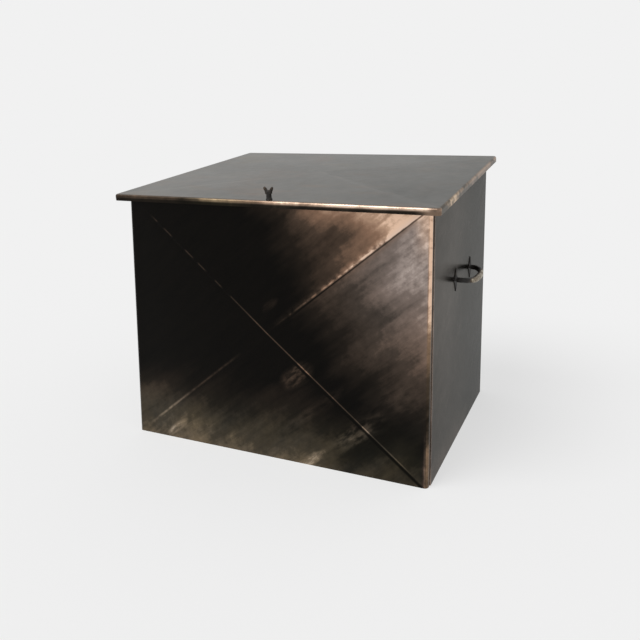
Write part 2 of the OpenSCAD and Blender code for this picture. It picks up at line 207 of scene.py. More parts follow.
class Sketch:
    """Writes the nodes of one material."""

    def __init__(self, name: str) -> None:
        """Starts an empty material.

        Args:
            name: The material's name.
        """
        self.material = bpy.data.materials.new(name)
        self.material.use_nodes = True
        self.tree = self.material.node_tree
        self.tree.nodes.clear()
        self.shader = self.node("ShaderNodeBsdfPrincipled")
        output = self.node("ShaderNodeOutputMaterial")
        self.tree.links.new(self.shader.outputs["BSDF"], output.inputs["Surface"])

    def node(self, kind: str, **settings: object) -> bpy.types.Node:
        """A new node.

        Args:
            kind: Blender's name for the kind of node.
            settings: The node's settings by name.

        Returns:
            The node.
        """
        made = self.tree.nodes.new(kind)
        for key, value in settings.items():
            setattr(made, key, value)
        return made

    def put(self, socket: bpy.types.NodeSocket, value: object) -> None:
        """Links a field to a socket, or sets a plain value on it.

        Args:
            socket: The node's input.
            value: A field, a number or a colour.
        """
        if isinstance(value, Field):
            self.tree.links.new(value.socket, socket)
        elif isinstance(value, tuple) and socket.type == "RGBA":
            socket.default_value = (*value, 1.0)
        else:
            socket.default_value = value

    def math(self, operation: str, *terms: Number) -> Field:
        """One step of arithmetic.

        Args:
            operation: Blender's name for the operation.
            terms: What it works on, in order.

        Returns:
            The result.
        """
        made = self.node("ShaderNodeMath", operation=operation)
        for socket, term in zip(made.inputs, terms):
            self.put(socket, term)
        return Field(self, made.outputs[0])

    def place(self) -> tuple[Field, Field, Field]:
        """The point's place on the piece.

        Returns:
            Its X, Y and Z in metres.
        """
        coords = self.node("ShaderNodeTexCoord")
        split = self.node("ShaderNodeSeparateXYZ")
        self.tree.links.new(coords.outputs["Object"], split.inputs[0])
        return tuple(Field(self, out) for out in split.outputs)

    def painted(self, name: str) -> Field:
        """The number that the mesh carries at each point.

        Args:
            name: The name that it carries it under.

        Returns:
            The number.
        """
        made = self.node("ShaderNodeAttribute", attribute_name=name)
        return Field(self, made.outputs["Fac"])

    def noise(self, x: Number, y: Number, z: Number, detail: float = 3.0,
              rough: float = 0.55) -> Field:
        """Soft noise between 0 and 1 at a point whose units are about one blotch each.

        Args:
            x: First coordinate, in blotches.
            y: Second coordinate, in blotches.
            z: Third coordinate, in blotches.
            detail: How many finer layers it has.
            rough: How strong the finer layers are.

        Returns:
            The noise.
        """
        point = self.node("ShaderNodeCombineXYZ")
        for socket, value in zip(point.inputs, (x, y, z)):
            self.put(socket, value)
        made = self.node("ShaderNodeTexNoise")
        self.tree.links.new(point.outputs[0], made.inputs["Vector"])
        made.inputs["Scale"].default_value = 1.0
        made.inputs["Detail"].default_value = detail
        made.inputs["Roughness"].default_value = rough
        return Field(self, made.outputs["Fac"])

    def blend(self, share: Number, under: Shade, over: Shade) -> Field:
        """One colour laid over another.

        Args:
            share: How much of the upper one shows.
            under: The lower colour.
            over: The upper colour.

        Returns:
            The blended colour.
        """
        made = self.node("ShaderNodeMix", data_type="RGBA")
        factor, lower, upper, blended = 0, 6, 7, 2
        self.put(made.inputs[factor], share)
        self.put(made.inputs[lower], under)
        self.put(made.inputs[upper], over)
        return Field(self, made.outputs[blended])

    def shades(self, level: Field, stops: Row) -> Field:
        """A row of colours read off by a level.

        Args:
            level: Where to read, from 0 to 1.
            stops: Each colour with its place in the row.

        Returns:
            The colour.
        """
        made = self.node("ShaderNodeValToRGB")
        self.put(made.inputs[0], level)
        row = made.color_ramp.elements
        while len(row) < len(stops):
            row.new(1.0)
        for element, (where, colour) in zip(row, stops):
            element.position = where
            element.color = (*colour, 1.0)
        return Field(self, made.outputs[0])

    def dents(self, height: Field, depth: float) -> None:
        """Gives the surface fine dents.

        Args:
            height: The surface's height, from 0 to 1.
            depth: The depth of the dents in metres.
        """
        made = self.node("ShaderNodeBump")
        made.inputs["Strength"].default_value = 1.0
        made.inputs["Distance"].default_value = depth
        self.put(made.inputs["Height"], height)
        self.tree.links.new(made.outputs[0], self.shader.inputs["Normal"])

    def finish(self, **values: object) -> bpy.types.Material:
        """Sets the shader's sockets.

        Args:
            values: Each socket's value under its name, with _ for a space.

        Returns:
            The finished material.
        """
        for key, value in values.items():
            self.put(self.shader.inputs[key.replace("_", " ")], value)
        return self.material


# Finishes ----------------------------------------------------------------

# Each row of colours runs from its darkest shade to its brightest, each with its place.
COPPER_ROW = (
    (0.0, (0.0050, 0.0049, 0.0046)),
    (0.25, (0.0200, 0.0150, 0.0115)),
    (0.5, (0.0720, 0.0480, 0.0340)),
    (0.75, (0.2550, 0.1500, 0.0970)),
    (0.9, (0.5000, 0.3200, 0.2150)),
    (1.0, (0.8200, 0.5600, 0.4000)))
GREY_ROW = (
    (0.0, (0.0048, 0.0050, 0.0048)),
    (0.25, (0.0150, 0.0158, 0.0150)),
    (0.5, (0.0500, 0.0515, 0.0500)),
    (0.75, (0.1650, 0.1650, 0.1660)),
    (0.9, (0.3400, 0.3350, 0.3400)),
    (1.0, (0.5800, 0.5700, 0.5700)))
BRASS_ROW = (
    (0.0, (0.0056, 0.0052, 0.0040)),
    (0.25, (0.0190, 0.0165, 0.0105)),
    (0.5, (0.0680, 0.0560, 0.0340)),
    (0.75, (0.2300, 0.1800, 0.1050)),
    (0.9, (0.4600, 0.3700, 0.2300)),
    (1.0, (0.7200, 0.6000, 0.4000)))
SCALE_ROW = (
    (0.0, (0.0060, 0.0055, 0.0050)),
    (0.35, (0.0160, 0.0130, 0.0110)),
    (0.65, (0.0450, 0.0320, 0.0230)),
    (0.85, (0.1600, 0.1200, 0.0800)),
    (1.0, (0.4000, 0.3700, 0.2900)))
DUST_ROW = (
    (0.0, (0.0500, 0.0480, 0.0450)),
    (0.5, (0.1050, 0.0980, 0.0900)),
    (1.0, (0.1900, 0.1720, 0.1500)))
STEEL_ROW = (
    (0.2, (0.0200, 0.0170, 0.0140)),
    (0.5, (0.0650, 0.0560, 0.0480)),
    (0.8, (0.2000, 0.1800, 0.1600)))
SCUFFED: Colour = (0.24, 0.21, 0.18)


class Brushing(Enum):
    """Which way a cloth went over a sheet: the axes along it, up it and through it."""

    UPRIGHT = (0, 2, 1)
    SIDE = (1, 2, 0)
    FLAT = (0, 1, 2)


Place = tuple[Field, Field, Field]


@dataclass(frozen=True)
class Rub:
    """How a sheet's patina was rubbed at each point.

    Attributes:
        level: How far, from 0 for the blacked sheet to 1 for bare metal.
        grey: The share of the grey row in its colour.
        brass: The share of the brass row.
    """

    level: Field
    grey: Number
    brass: Number


@dataclass(frozen=True)
class RubbedPatina:
    """Blacked sheet metal whose patina was rubbed back with a cloth in slanting strokes.

    Attributes:
        name: The material's name.
        brushing: Which way the cloth went.
        stroke: The strokes' slant.
        rub: How far the patina is rubbed back in the mean.
        strength: How strongly the strokes show.
        grey: The share of the grey row in its colour.
        gloss: The mean roughness.
        glance: How bright the metal is at a glancing view.
        drift: How far the strokes wander, in metres.
        broad_rub: What the broad strokes rub off.
        fine_rub: What the scratches rub off.
        faint: How much of the strokes still shows on the black.
        dent: The depth of the strokes.
        cool: How much blue is left at a glancing view.
    """

    name: str
    brushing: Brushing
    stroke: float = math.radians(39)
    rub: float = 0.2
    strength: float = 0.16
    grey: float = 0.75
    gloss: float = 0.36
    glance: float = 1.0
    drift: float = 0.03
    broad_rub: float = 1.7
    fine_rub: float = 0.7
    faint: float = 0.25
    dent: float = 0.10 * MM
    cool: float = 0.985

    def strokes(self, sketch: Sketch, place: Place) -> tuple[Field, Field]:
        """The strokes of the cloth.

        Args:
            sketch: The material sketch.
            place: The point on the piece.

        Returns:
            Broad strokes and hair-fine scratches, both 0 in the mean.
        """
        u, w, d = (place[i] for i in self.brushing.value)
        cos, sin = math.cos(self.stroke), math.sin(self.stroke)
        wander = sketch.noise(u * 5.0, w * 5.0, d * 5.0, detail=1.0)
        along = u * cos + w * sin
        across = w * cos - u * sin + wander * self.drift
        broad = sketch.noise(along * 13.0, across * 75.0, d * 20.0, detail=6.0, rough=0.65)
        fine = sketch.noise(along * 70.0, across * 700.0, d * 200.0, detail=2.0)
        return broad - 0.5, fine - 0.5

    def rubbed(self, sketch: Sketch, place: Place) -> Rub:
        """How far the patina is rubbed back at each point, strokes aside.

        Args:
            sketch: The material sketch.
            place: The point on the piece.

        Returns:
            The rub.
        """
        x, y, z = place
        cloud = sketch.noise(x * 7.0, y * 7.0, z * 7.0, detail=3.0) - 0.5
        mottle = sketch.noise(x * 60.0, y * 60.0, z * 60.0, detail=4.0) - 0.5
        return Rub(cloud * 0.25 + mottle * 0.12 + self.rub, self.grey, 0.0)

    def made(self) -> bpy.types.Material:
        """The finished material.

        Returns:
            The material.
        """
        sketch = Sketch(self.name)
        place = sketch.place()
        broad, fine = self.strokes(sketch, place)
        rub = self.rubbed(sketch, place)
        shown = (rub.level.ease(-0.1, 0.5) * (1.0 - self.faint) + self.faint) * self.strength
        level = rub.level + (broad * self.broad_rub + fine * self.fine_rub) * shown
        copper, grey, brass = (
            sketch.shades(level, row) for row in (COPPER_ROW, GREY_ROW, BRASS_ROW))
        colour = sketch.blend(rub.brass, sketch.blend(rub.grey, copper, grey), brass)
        sketch.dents((broad + fine) * 0.5 + 0.5, self.dent)
        return sketch.finish(
            Base_Color=colour,
            Metallic=1.0,
            Roughness=fine * 0.14 + broad * 0.12 + self.gloss,
            Specular_Tint=(self.glance, self.glance, self.glance * self.cool),
        )


@dataclass(frozen=True)
class Spot:
    """A place on the front panel where the cloth dwelt, drawn out along its strokes.

    Attributes:
        x: Its middle, across the panel.
        z: Its middle, up the panel.
        half_length: Half its length along the strokes.
        half_width: Half its width across them.
        rub: How much further it is rubbed.
    """

    x: float
    z: float
    half_length: float
    half_width: float
    rub: float


MIDDLE_SPOT = Spot(x=0.047, z=0.137, half_length=0.022, half_width=0.011, rub=0.575)
RIGHT_FOOT_SPOT = Spot(x=0.140, z=0.063, half_length=0.045, half_width=0.013, rub=0.425)
LONG_WISP = Spot(x=0.090, z=0.100, half_length=0.060, half_width=0.008, rub=0.200)
RIGHT_WISP = Spot(x=0.185, z=0.100, half_length=0.050, half_width=0.020, rub=0.150)
MEETING_SPOT = Spot(x=0.005, z=0.241, half_length=0.012, half_width=0.005, rub=0.250)
EDGE_SPOT = Spot(x=0.066, z=0.006, half_length=0.026, half_width=0.006, rub=0.475)
LEFT_FOOT_SPOT = Spot(x=-0.170, z=0.020, half_length=0.020, half_width=0.005, rub=0.375)


@dataclass(frozen=True)
class FrontPoint:
    """A point of the front panel, as its finish measures it.

    Attributes:
        x: Its place across.
        y: Its depth.
        z: Its height.
        u: Its place across as a share of the creased area, from -1 to 1.
        w: Its height as such a share.
        along: Its place along the cloth's strokes.
        across: Its place across them.
    """

    x: Field
    y: Field
    z: Field
    u: Field
    w: Field
    along: Field
    across: Field


@dataclass(frozen=True)
class Unevenness:
    """Soft noises, each 0 in the mean, that keep the rubbing uneven.

    Attributes:
        cloud: Broad clouds that lie along the strokes.
        mottle: Small blotches.
        streak: Fine streaks.
        bands: Long bands.
    """

    cloud: Field
    mottle: Field
    streak: Field
    bands: Field


@dataclass(frozen=True)
class FrontPatina(RubbedPatina):
    """The front panel's patina: black on the left, rubbed bright at the right corner and the foot,
    partly as painted highlight and sheen.

    Attributes:
        half_w: Half the creased area's width.
        half_h: Half its height.
        middle_z: Its middle's height.
        bend_x: Where the upright bends start.
        top_z: Where the fold round the mouth starts.
        bend_end: The depth at which the upright bends end.
        corner_rub_highlight: How far the top right corner is rubbed, with its painted highlight.
        corner_highlight_cap: How bright its rubbing and painted highlight get at most.
        foot_rub_sheen: How far the foot is rubbed, with its painted sheen.
        flange_rub: How far the flanges round the corner are rubbed.
        melt: Over how much of the rub two glows melt into one.
        floor_melt: Over how much of it they melt into the black.
        spots: Where the cloth dwelt.
    """

    half_w: float = 0.2335
    half_h: float = 0.1885
    middle_z: float = 0.1975
    bend_x: float = 0.2425
    top_z: float = 0.3950
    bend_end: float = -0.1865
    corner_rub_highlight: float = 0.86
    corner_highlight_cap: float = 0.77
    foot_rub_sheen: float = 0.53
    flange_rub: float = 0.56
    melt: float = 0.12
    floor_melt: float = 0.14
    spots: tuple[Spot, ...] = (MIDDLE_SPOT, RIGHT_FOOT_SPOT, LONG_WISP, RIGHT_WISP, MEETING_SPOT,
                               EDGE_SPOT, LEFT_FOOT_SPOT)

    def point(self, place: Place) -> FrontPoint:
        """The point in all the measures that the finish uses.

        Args:
            place: The point on the piece.

        Returns:
            The point of the panel.
        """
        x, y, z = place
        cos, sin = math.cos(self.stroke), math.sin(self.stroke)
        return FrontPoint(x, y, z, x / self.half_w, (z - self.middle_z) / self.half_h,
                          x * cos + z * sin, z * cos - x * sin)

    def unevenness(self, sketch: Sketch, at: FrontPoint) -> Unevenness:
        """The noises that break up the rubbing.

        Args:
            sketch: The material sketch.
            at: The point of the panel.

        Returns:
            The noises.
        """
        return Unevenness(
            cloud=sketch.noise(at.along * 9.0, 0.0, at.across * 17.0, detail=5.0, rough=0.62) - 0.5,
            mottle=sketch.noise(at.x * 80.0, 0.0, at.z * 80.0, detail=5.0, rough=0.65) - 0.5,
            streak=sketch.noise(at.along * 16.0, 5.0, at.across * 130.0, detail=3.0) - 0.5,
            bands=sketch.noise(at.along * 4.5, 9.0, at.across * 30.0, detail=3.0, rough=0.5) - 0.5)

    def rubbed(self, sketch: Sketch, place: Place) -> Rub:
        """How far the patina is rubbed back at each point, strokes aside.

        Args:
            sketch: The material sketch.
            place: The point on the piece.

        Returns:
            The rub.
        """
        at = self.point(place)
        uneven = self.unevenness(sketch, at)
        upper = (at.w - at.u).ease(-0.03, 0.05)
        beside = at.x.ease(self.bend_x - 24.5 * MM, self.bend_x + 0.5 * MM)
        by_corner = beside * at.z.ease(0.31, 0.385) * (1.0 - upper)
        # Painted highlight by the top right corner and painted sheen by the foot, each over rubbed
        # patina.
        glow = self.corner_highlight_and_rub(at, uneven, upper, by_corner).melted(
            self.foot_sheen_and_rub(at, uneven), self.melt).melted(-0.02, self.floor_melt)
        ground = glow + 0.05 + uneven.mottle * (glow.ease(-0.05, 0.4) * 0.24 + 0.04)
        ridges, grooves = self.creases(sketch, at)
        turned = at.y.ease(self.bend_end - 0.4 * MM, self.bend_end)
        crown = at.x.size().ease(self.bend_x + 0.5 * MM, self.bend_x + 3.3 * MM) * (1.0 - turned)
        fold = at.z.ease(self.top_z - 2.5 * MM, self.top_z)
        spots = self.dwelt(sketch, at, uneven)
        # The fold at the top is darkened as painted shade under the lid's rim.
        worked = (ground + spots - grooves - fold * 0.3).most(0.03) + ridges
        worked = worked + self.beside_bend(at, uneven)
        level = worked * (1.0 - turned) + turned * self.flange_rub
        # Rubbed crowns of the upright bends with a painted highlight, brighter towards the right.
        bright = self.bend(at, uneven) * crown * (at.x.ease(-0.1, 0.2) * 0.7 + 0.3)
        grey, brass = self.casts(at, uneven, crown, by_corner)
        return Rub(level.most(bright), grey, brass)

    def corner_highlight_and_rub(self, at: FrontPoint, uneven: Unevenness, upper: Field,
                    by_corner: Field) -> Field:
        """The top right corner's painted highlight over rubbed patina, which falls off to the left
        and downwards.

        Args:
            at: The point of the panel.
            uneven: The noises that break it up.
            upper: 1 above the rising crease and 0 under it.
            by_corner: 1 beside the upright bend, close under the corner.

        Returns:
            How bright it is, rubbing and painted highlight together.
        """
        from_edge, from_top = self.bend_x + 2.5 * MM - at.x, self.top_z - at.z
        fall = from_edge * (from_edge * 6.2 + 1.2 + from_top * 6.0) + from_top * from_top * 7.4
        under_rim = at.z.ease(0.350, 0.388) * at.x.ease(-0.06, 0.10) * 0.24
        top_facet = upper * (at.u.ease(0.45, 0.95) * 0.24 + under_rim - 0.09)
        # Painted shade under the lid's rim, below the rising crease.
        shade = (1.0 - upper) * at.z.ease(0.32, 0.38) * 0.06
        middle = at.x.bell(0.10, 0.17) * at.z.bell(0.15, 0.15) * 0.05
        broken = uneven.cloud * 0.42 + uneven.bands * 0.50 + uneven.streak * 0.16
        glow = self.corner_rub_highlight - fall + top_facet - shade + middle + by_corner * 0.24 + broken
        cap = (uneven.cloud * 0.40 + uneven.streak * 0.35 + uneven.mottle * 0.15 + upper * 0.11
               + by_corner * 0.14 + self.corner_highlight_cap)
        return glow.least(cap)

    def foot_sheen_and_rub(self, at: FrontPoint, uneven: Unevenness) -> Field:
        """The foot's painted sheen over rubbed patina, which fades upwards and to the right.

        Args:
            at: The point of the panel.
            uneven: The noises that break it up.

        Returns:
            How bright it is, rubbing and painted sheen together.
        """
        left_cloud = at.x.bell(-0.185, 0.13) * at.z.bell(0.055, 0.07) * 0.17
        broken = uneven.cloud * 0.35 + uneven.bands * 0.45 + uneven.streak * 0.15
        return (self.foot_rub_sheen - at.z * 4.6) - at.x.ease(0.06, 0.14) * 0.18 + left_cloud + broken

    def dwelt(self, sketch: Sketch, at: FrontPoint, uneven: Unevenness) -> Field:
        """The spots where the cloth dwelt.

        Args:
            sketch: The material sketch.
            at: The point of the panel.
            uneven: The noises, whose clouds break the spots' outlines.

        Returns:
            The rub to add.
        """
        torn = sketch.noise(at.along * 45.0, at.across * 130.0, 1.0, detail=3.0)
        torn = torn.ease(0.28, 0.68) * 0.92 + 0.08
        cos, sin = math.cos(self.stroke), math.sin(self.stroke)
        total: Number = 0.0
        for spot in self.spots:
            a = (at.along - (spot.x * cos + spot.z * sin)) / spot.half_length
            b = (at.across - (spot.z * cos - spot.x * sin)) / spot.half_width
            total = (a * a + b * b + uneven.cloud * 5.0).ease(2.8, -0.6) * spot.rub + total
        return total * torn

    def bend(self, at: FrontPoint, uneven: Unevenness) -> Field:
        """How far the crown of an upright bend is rubbed and carries a painted highlight, most by
        the top and the foot.
        """
        places = at.z.ease(0.17, 0.26) * 0.68 + at.z.ease(0.09, 0.05) * 0.30 + 0.34
        return places + uneven.mottle * 0.7 + uneven.cloud * 0.3

    def beside_bend(self, at: FrontPoint, uneven: Unevenness) -> Field:
        """The rub to add along the right bend, close over the floor."""
        line = at.x.bell(self.bend_x + 1.3 * MM, 3.5 * MM)
        return line * at.z.ease(0.095, 0.05) * (0.30 + uneven.mottle * 0.6)

    def casts(self, at: FrontPoint, uneven: Unevenness, crown: Field,
              by_corner: Field) -> tuple[Field, Field]:
        """How grey the right facet shows and how brassy the foot, tints that paint their different
        reflections.

        Args:
            at: The point of the panel.
            uneven: The noises that break them up.
            crown: 1 on the crown of an upright bend.
            by_corner: 1 beside the upright bend, close under the corner.

        Returns:
            The share of the grey row and that of the brass row.
        """
        # The foot's brass and olive tint goes with its painted sheen.
        low = at.w.ease(-0.45, -0.85) * at.x.ease(self.bend_x - 1.5 * MM, self.bend_x - 6.5 * MM)
        # Painted reflection: the right facet is tinted greyer, as it reflects differently from the
        # others.
        facet = (at.u - at.w.size()).ease(-0.06, 0.08) * at.u.ease(0.15, 0.9)
        facet = facet * (at.w.ease(-0.3, 0.6) * 0.40 + 0.20)
        facet = facet * (1.0 - crown) * (1.0 - by_corner * 0.8)
        grey = facet + low * (0.46 - uneven.cloud * 1.6) + 0.03
        brass = low * (0.60 + uneven.cloud * 1.0) + crown * at.z.ease(0.27, 0.20) * 0.30
        return grey.most(0.0), brass.most(0.0).least(1.0)

    def creases(self, sketch: Sketch, at: FrontPoint) -> tuple[Field, Field]:
        """The rubbed ridges of the two creases, and the dark grooves beside them.

        Args:
            sketch: The material sketch.
            at: The point of the panel.

        Returns:
            The rub to add and the rub to take away.
        """
        reach = self.half_w * self.half_h / math.hypot(self.half_w, self.half_h)
        rising, falling = (at.w - at.u) * reach, (at.w + at.u) * reach
        up_right, down_right = (at.u + at.w) * 0.5, (at.u - at.w) * 0.5
        patchy = sketch.noise(at.x * 75.0, 0.0, at.z * 75.0, detail=4.0)
        broken = patchy.ease(0.3, 0.6)
        dashes = sketch.noise(at.x * 38.0, 3.0, at.z * 38.0, detail=1.0).ease(0.40, 0.52)
        right_half = up_right.ease(0.0, 0.2)
        wide = right_half * 0.15 + up_right.ease(0.12, 0.5) * 0.09
        wide = rising.bell(3.6 * MM, 7.5 * MM) * wide
        bright = rising.bell(1.6 * MM, 2.4 * MM) * up_right.ease(0.02, 0.2) * 0.26
        low_left = up_right.ease(-0.18, -0.3) * up_right.ease(-1.0, -0.8)
        low_left = rising.bell(0.8 * MM, 3.2 * MM) * low_left
        strong = down_right.ease(-0.18, -0.08)
        inner = down_right.ease(-0.90, -0.84) * down_right.ease(0.99, 0.88)
        drawn = strong * (0.52 - down_right.ease(0.3, 0.9) * 0.20) + dashes * (1.0 - strong) * 0.36
        fine = falling.bell(0.6 * MM, 1.9 * MM) * inner * drawn * (patchy * 0.7 + 0.62)
        ridge = (wide + bright) * broken + low_left * (broken * 0.20 + 0.10) + fine
        groove = (rising.bell(-1.4 * MM, 1.9 * MM) * right_half * 0.32
                  + falling.bell(-2.6 * MM, 3.6 * MM) * strong * 0.34)
        return ridge, groove


@dataclass(frozen=True)
class SidePatina(RubbedPatina):
    """A side panel's patina: even and greyish, with its front edge a little rubbed and painted
    shade towards the floor and the back.

    Attributes:
        front_edge: The depth of its front edge.
        edge_band: How wide the rubbed band along that edge is.
    """

    front_edge: float = -0.1815
    edge_band: float = 5.0 * MM

    def rubbed(self, sketch: Sketch, place: Place) -> Rub:
        """How far the patina is rubbed back at each point, strokes aside.

        Args:
            sketch: The material sketch.
            place: The point on the piece.

        Returns:
            The rub.
        """
        plain = super().rubbed(sketch, place)
        _, y, z = place
        patchy = sketch.noise(0.0, y * 30.0, z * 30.0, detail=3.0)
        edge = y.bell(self.front_edge, self.edge_band) * patchy * 0.30
        cut = y.ease(self.front_edge + 0.6 * MM, self.front_edge + 0.2 * MM) * 0.04
        foot = z.ease(0.05, 0.0) * patchy * 0.2
        # Painted shade: darker towards the floor and towards the back.
        shade = z.ease(0.25, 0.0) * 0.05 + y.ease(-0.10, 0.19) * 0.26
        return Rub(plain.level + edge + foot + cut - shade, 0.85 - edge - foot - cut * 2.0, 0.10)


@dataclass(frozen=True)
class LidPatina(RubbedPatina):
    """The lid's patina: grey on top, with its turned-down rim rubbed back to brass and copper and a
    painted highlight along the rim's bend.

    Attributes:
        front_y: The depth at which the front rim's bend starts.
        middle_y: The depth at which the two creases meet.
        half_w: Half the creased area's width.
        half_d: Half its depth.
    """

    front_y: float = -0.2000
    middle_y: float = -0.0019
    half_w: float = 0.2500
    half_d: float = 0.1940

    def rubbed(self, sketch: Sketch, place: Place) -> Rub:
        """How far the patina is rubbed back at each point, strokes aside.

        Args:
            sketch: The material sketch.
            place: The point on the piece.

        Returns:
            The rub.
        """
        plain = super().rubbed(sketch, place)
        x, y, z = place
        bend, rim = sketch.painted("bend"), sketch.painted("rim")
        edge = bend.most(rim)
        patchy = sketch.noise(x * 24.0, y * 24.0, z * 24.0, detail=5.0, rough=0.65)
        front = y.ease(self.front_y, self.front_y - 3 * MM)
        right, along = x.ease(-0.17, 0.14), y.ease(0.02, -0.19)
        crown, under = self.rim(x, front, right, along, patchy)
        out_x, out_y = x.size() / self.half_w, (y - self.middle_y) / self.half_d
        crease = (out_x - out_y.size()).size().ease(0.016, 0.0) * patchy.ease(0.3, 0.6) * 0.10
        # Painted sheen: the creased top's front facet is a little brighter.
        front_facet_sheen = (out_y * -1.0 - out_x).ease(-0.02, 0.02) * (1.0 - edge) * 0.05
        level = (plain.level + crease - x * 0.2) * (1.0 - edge) + front_facet_sheen
        level = level + bend * crown + (edge - bend) * under
        stain = sketch.noise(x * 14.0, y * 45.0, z * 14.0, detail=4.0).ease(0.5, 0.75)
        cast = sketch.noise(x * 8.0, y * 8.0, 2.0, detail=3.0)
        grey = (1.0 - edge) * (1.0 - stain * 0.30 - cast.ease(0.5, 0.75) * 0.25)
        grey = grey + edge * ((1.0 - front) * (1.0 - along * 0.8) * 0.25 + front * right * 0.25)
        brass = edge * (x.bell(-0.08, 0.09) * 0.6 + (1.0 - front) * along * 0.40 + 0.15)
        brass = brass + (1.0 - edge) * (cast.ease(0.5, 0.25) * 0.22 + 0.12)
        return Rub(level, grey, brass)

    def rim(self, x: Field, front: Field, right: Field, along: Field,
            patchy: Field) -> tuple[Field, Field]:
        """How far the turned-down rim is rubbed, with a painted highlight on the bend's crown that
        grows towards the right.

        Args:
            x: The point's place across.
            front: 1 on the front rim and 0 on the others.
            right: 1 towards the right end of the front rim.
            along: 1 towards the front end of a side rim.
            patchy: Noise that breaks the rub up.

        Returns:
            The rub of the bend's crown and that of the rim under it.
        """
        marks = (patchy - 0.5) * 0.9
        # Painted highlight over the rubbing on the front rim's bend, brighter towards the right.
        crown = right * 0.66 + 0.34 + x.bell(-0.09, 0.06) * 0.22 - x.bell(0.256, 0.012) * 0.25
        side_crown = patchy.ease(0.34, 0.54) * (along * 0.16 + 0.38) + 0.44
        under = right * 0.10 + 0.14 + x.ease(0.225, 0.25) * 0.5 + (patchy - 0.5) * 0.5
        side_under = patchy.ease(0.40, 0.60) * (along * 0.24 + 0.30) + 0.42
        return ((crown + marks) * front + side_crown * (1.0 - front),
                under * front + side_under * (1.0 - front))


@dataclass(frozen=True)
class ForgedIron:
    """Hammered iron, blacked, and worn bright on what stands out, with a painted highlight there.

    Attributes:
        name: The material's name.
        grip_from: How far out a bow's worn grip, with its painted highlight, starts.
        grip_fade: How wide its start is.
        knob_z: The heights between which the knob's horns get brighter, worn and with a painted
            highlight.
        knob_x: How far to the side the knob's wear ends, and from where it is full.
        dent: The depth of the hammered scale.
    """

    name: str = "forged_iron"
    grip_from: float = 0.2690
    grip_fade: float = 8.0 * MM
    knob_z: tuple[float, float] = (0.402, 0.416)
    knob_x: tuple[float, float] = (0.06, 0.04)
    dent: float = 0.35 * MM

    def made(self) -> bpy.types.Material:
        """The finished material.

        Returns:
            The material.
        """
        sketch = Sketch(self.name)
        x, y, z = sketch.place()
        scale = sketch.noise(x * 260.0, y * 260.0, z * 260.0, detail=4.0, rough=0.6)
        grain = sketch.noise(x * 1500.0, y * 1500.0, z * 1500.0, detail=2.0)
        bare = sketch.noise(x * 90.0, y * 90.0, z * 90.0, detail=3.0).ease(0.5, 0.75)
        # The bow's grip is worn bright and carries a painted highlight.
        grip = x.size().ease(self.grip_from, self.grip_from + self.grip_fade)
        # The knob's horns are worn and carry a painted highlight towards their tops.
        knob = z.ease(*self.knob_z) * x.size().ease(*self.knob_x)
        level = scale * 0.45 + bare * 0.35 + (grain - 0.5) * 0.2
        level = level + grip * 0.65 + knob * (scale - 0.2) * 1.1
        sketch.dents(scale * 0.8 + grain * 0.2, self.dent)
        return sketch.finish(
            Base_Color=sketch.shades(level, SCALE_ROW),
            Metallic=level.ease(0.3, 0.9) * 0.5 + 0.35,
            Roughness=0.50 - bare * 0.12 + (grain - 0.5) * 0.1,
            Specular_IOR_Level=0.4,
        )


@dataclass(frozen=True)
class BareInside:
    """The sheets' inner sides: blacked but never rubbed, dull and a little dusty.

    Attributes:
        name: The material's name.
        dust_top: How high the dust on the walls reaches.
        dent: The depth of the grain.
    """

    name: str = "bare_inside"
    dust_top: float = 0.12
    dent: float = 0.10 * MM

    def made(self) -> bpy.types.Material:
        """The finished material.

        Returns:
            The material.
        """
        sketch = Sketch(self.name)
        x, y, z = sketch.place()
        cloud = sketch.noise(x * 14.0, y * 14.0, z * 14.0, detail=5.0)
        grain = sketch.noise(x * 700.0, y * 700.0, z * 700.0, detail=2.0)
        scuff = sketch.noise(x * 22.0, y * 22.0, z * 90.0, detail=6.0, rough=0.7).ease(0.55, 0.8)
        dust = z.ease(self.dust_top, 0.0) * 0.35 + cloud * 0.75 + (grain - 0.5) * 0.3
        colour = sketch.shades(dust.least(1.0), DUST_ROW)
        sketch.dents(cloud * 0.4 + grain * 0.6, self.dent)
        return sketch.finish(
            Base_Color=sketch.blend(scuff * 0.4, colour, SCUFFED),
            Metallic=0.25 + scuff * 0.3,
            Roughness=0.58 + (grain - 0.5) * 0.15 - scuff * 0.12,
            Specular_IOR_Level=0.3,
        )


@dataclass(frozen=True)
class DullSteel:
    """Plain steel of rivets, pins and screws, dulled and a little stained.

    Attributes:
        name: The material's name.
        dent: The depth of the grain.
    """

    name: str = "dull_steel"
    dent: float = 0.08 * MM

    def made(self) -> bpy.types.Material:
        """The finished material.

        Returns:
            The material.
        """
        sketch = Sketch(self.name)
        x, y, z = sketch.place()
        stain = sketch.noise(x * 180.0, y * 180.0, z * 180.0, detail=4.0)
        grain = sketch.noise(x * 1800.0, y * 1800.0, z * 1800.0, detail=2.0)
        sketch.dents(stain * 0.5 + grain * 0.5, self.dent)
        return sketch.finish(
            Base_Color=sketch.shades(stain * 0.8 + grain * 0.2, STEEL_ROW),
            Metallic=0.9,
            Roughness=0.42 + (grain - 0.5) * 0.2,
        )


# Meshes ------------------------------------------------------------------

Point = tuple[float, float, float]


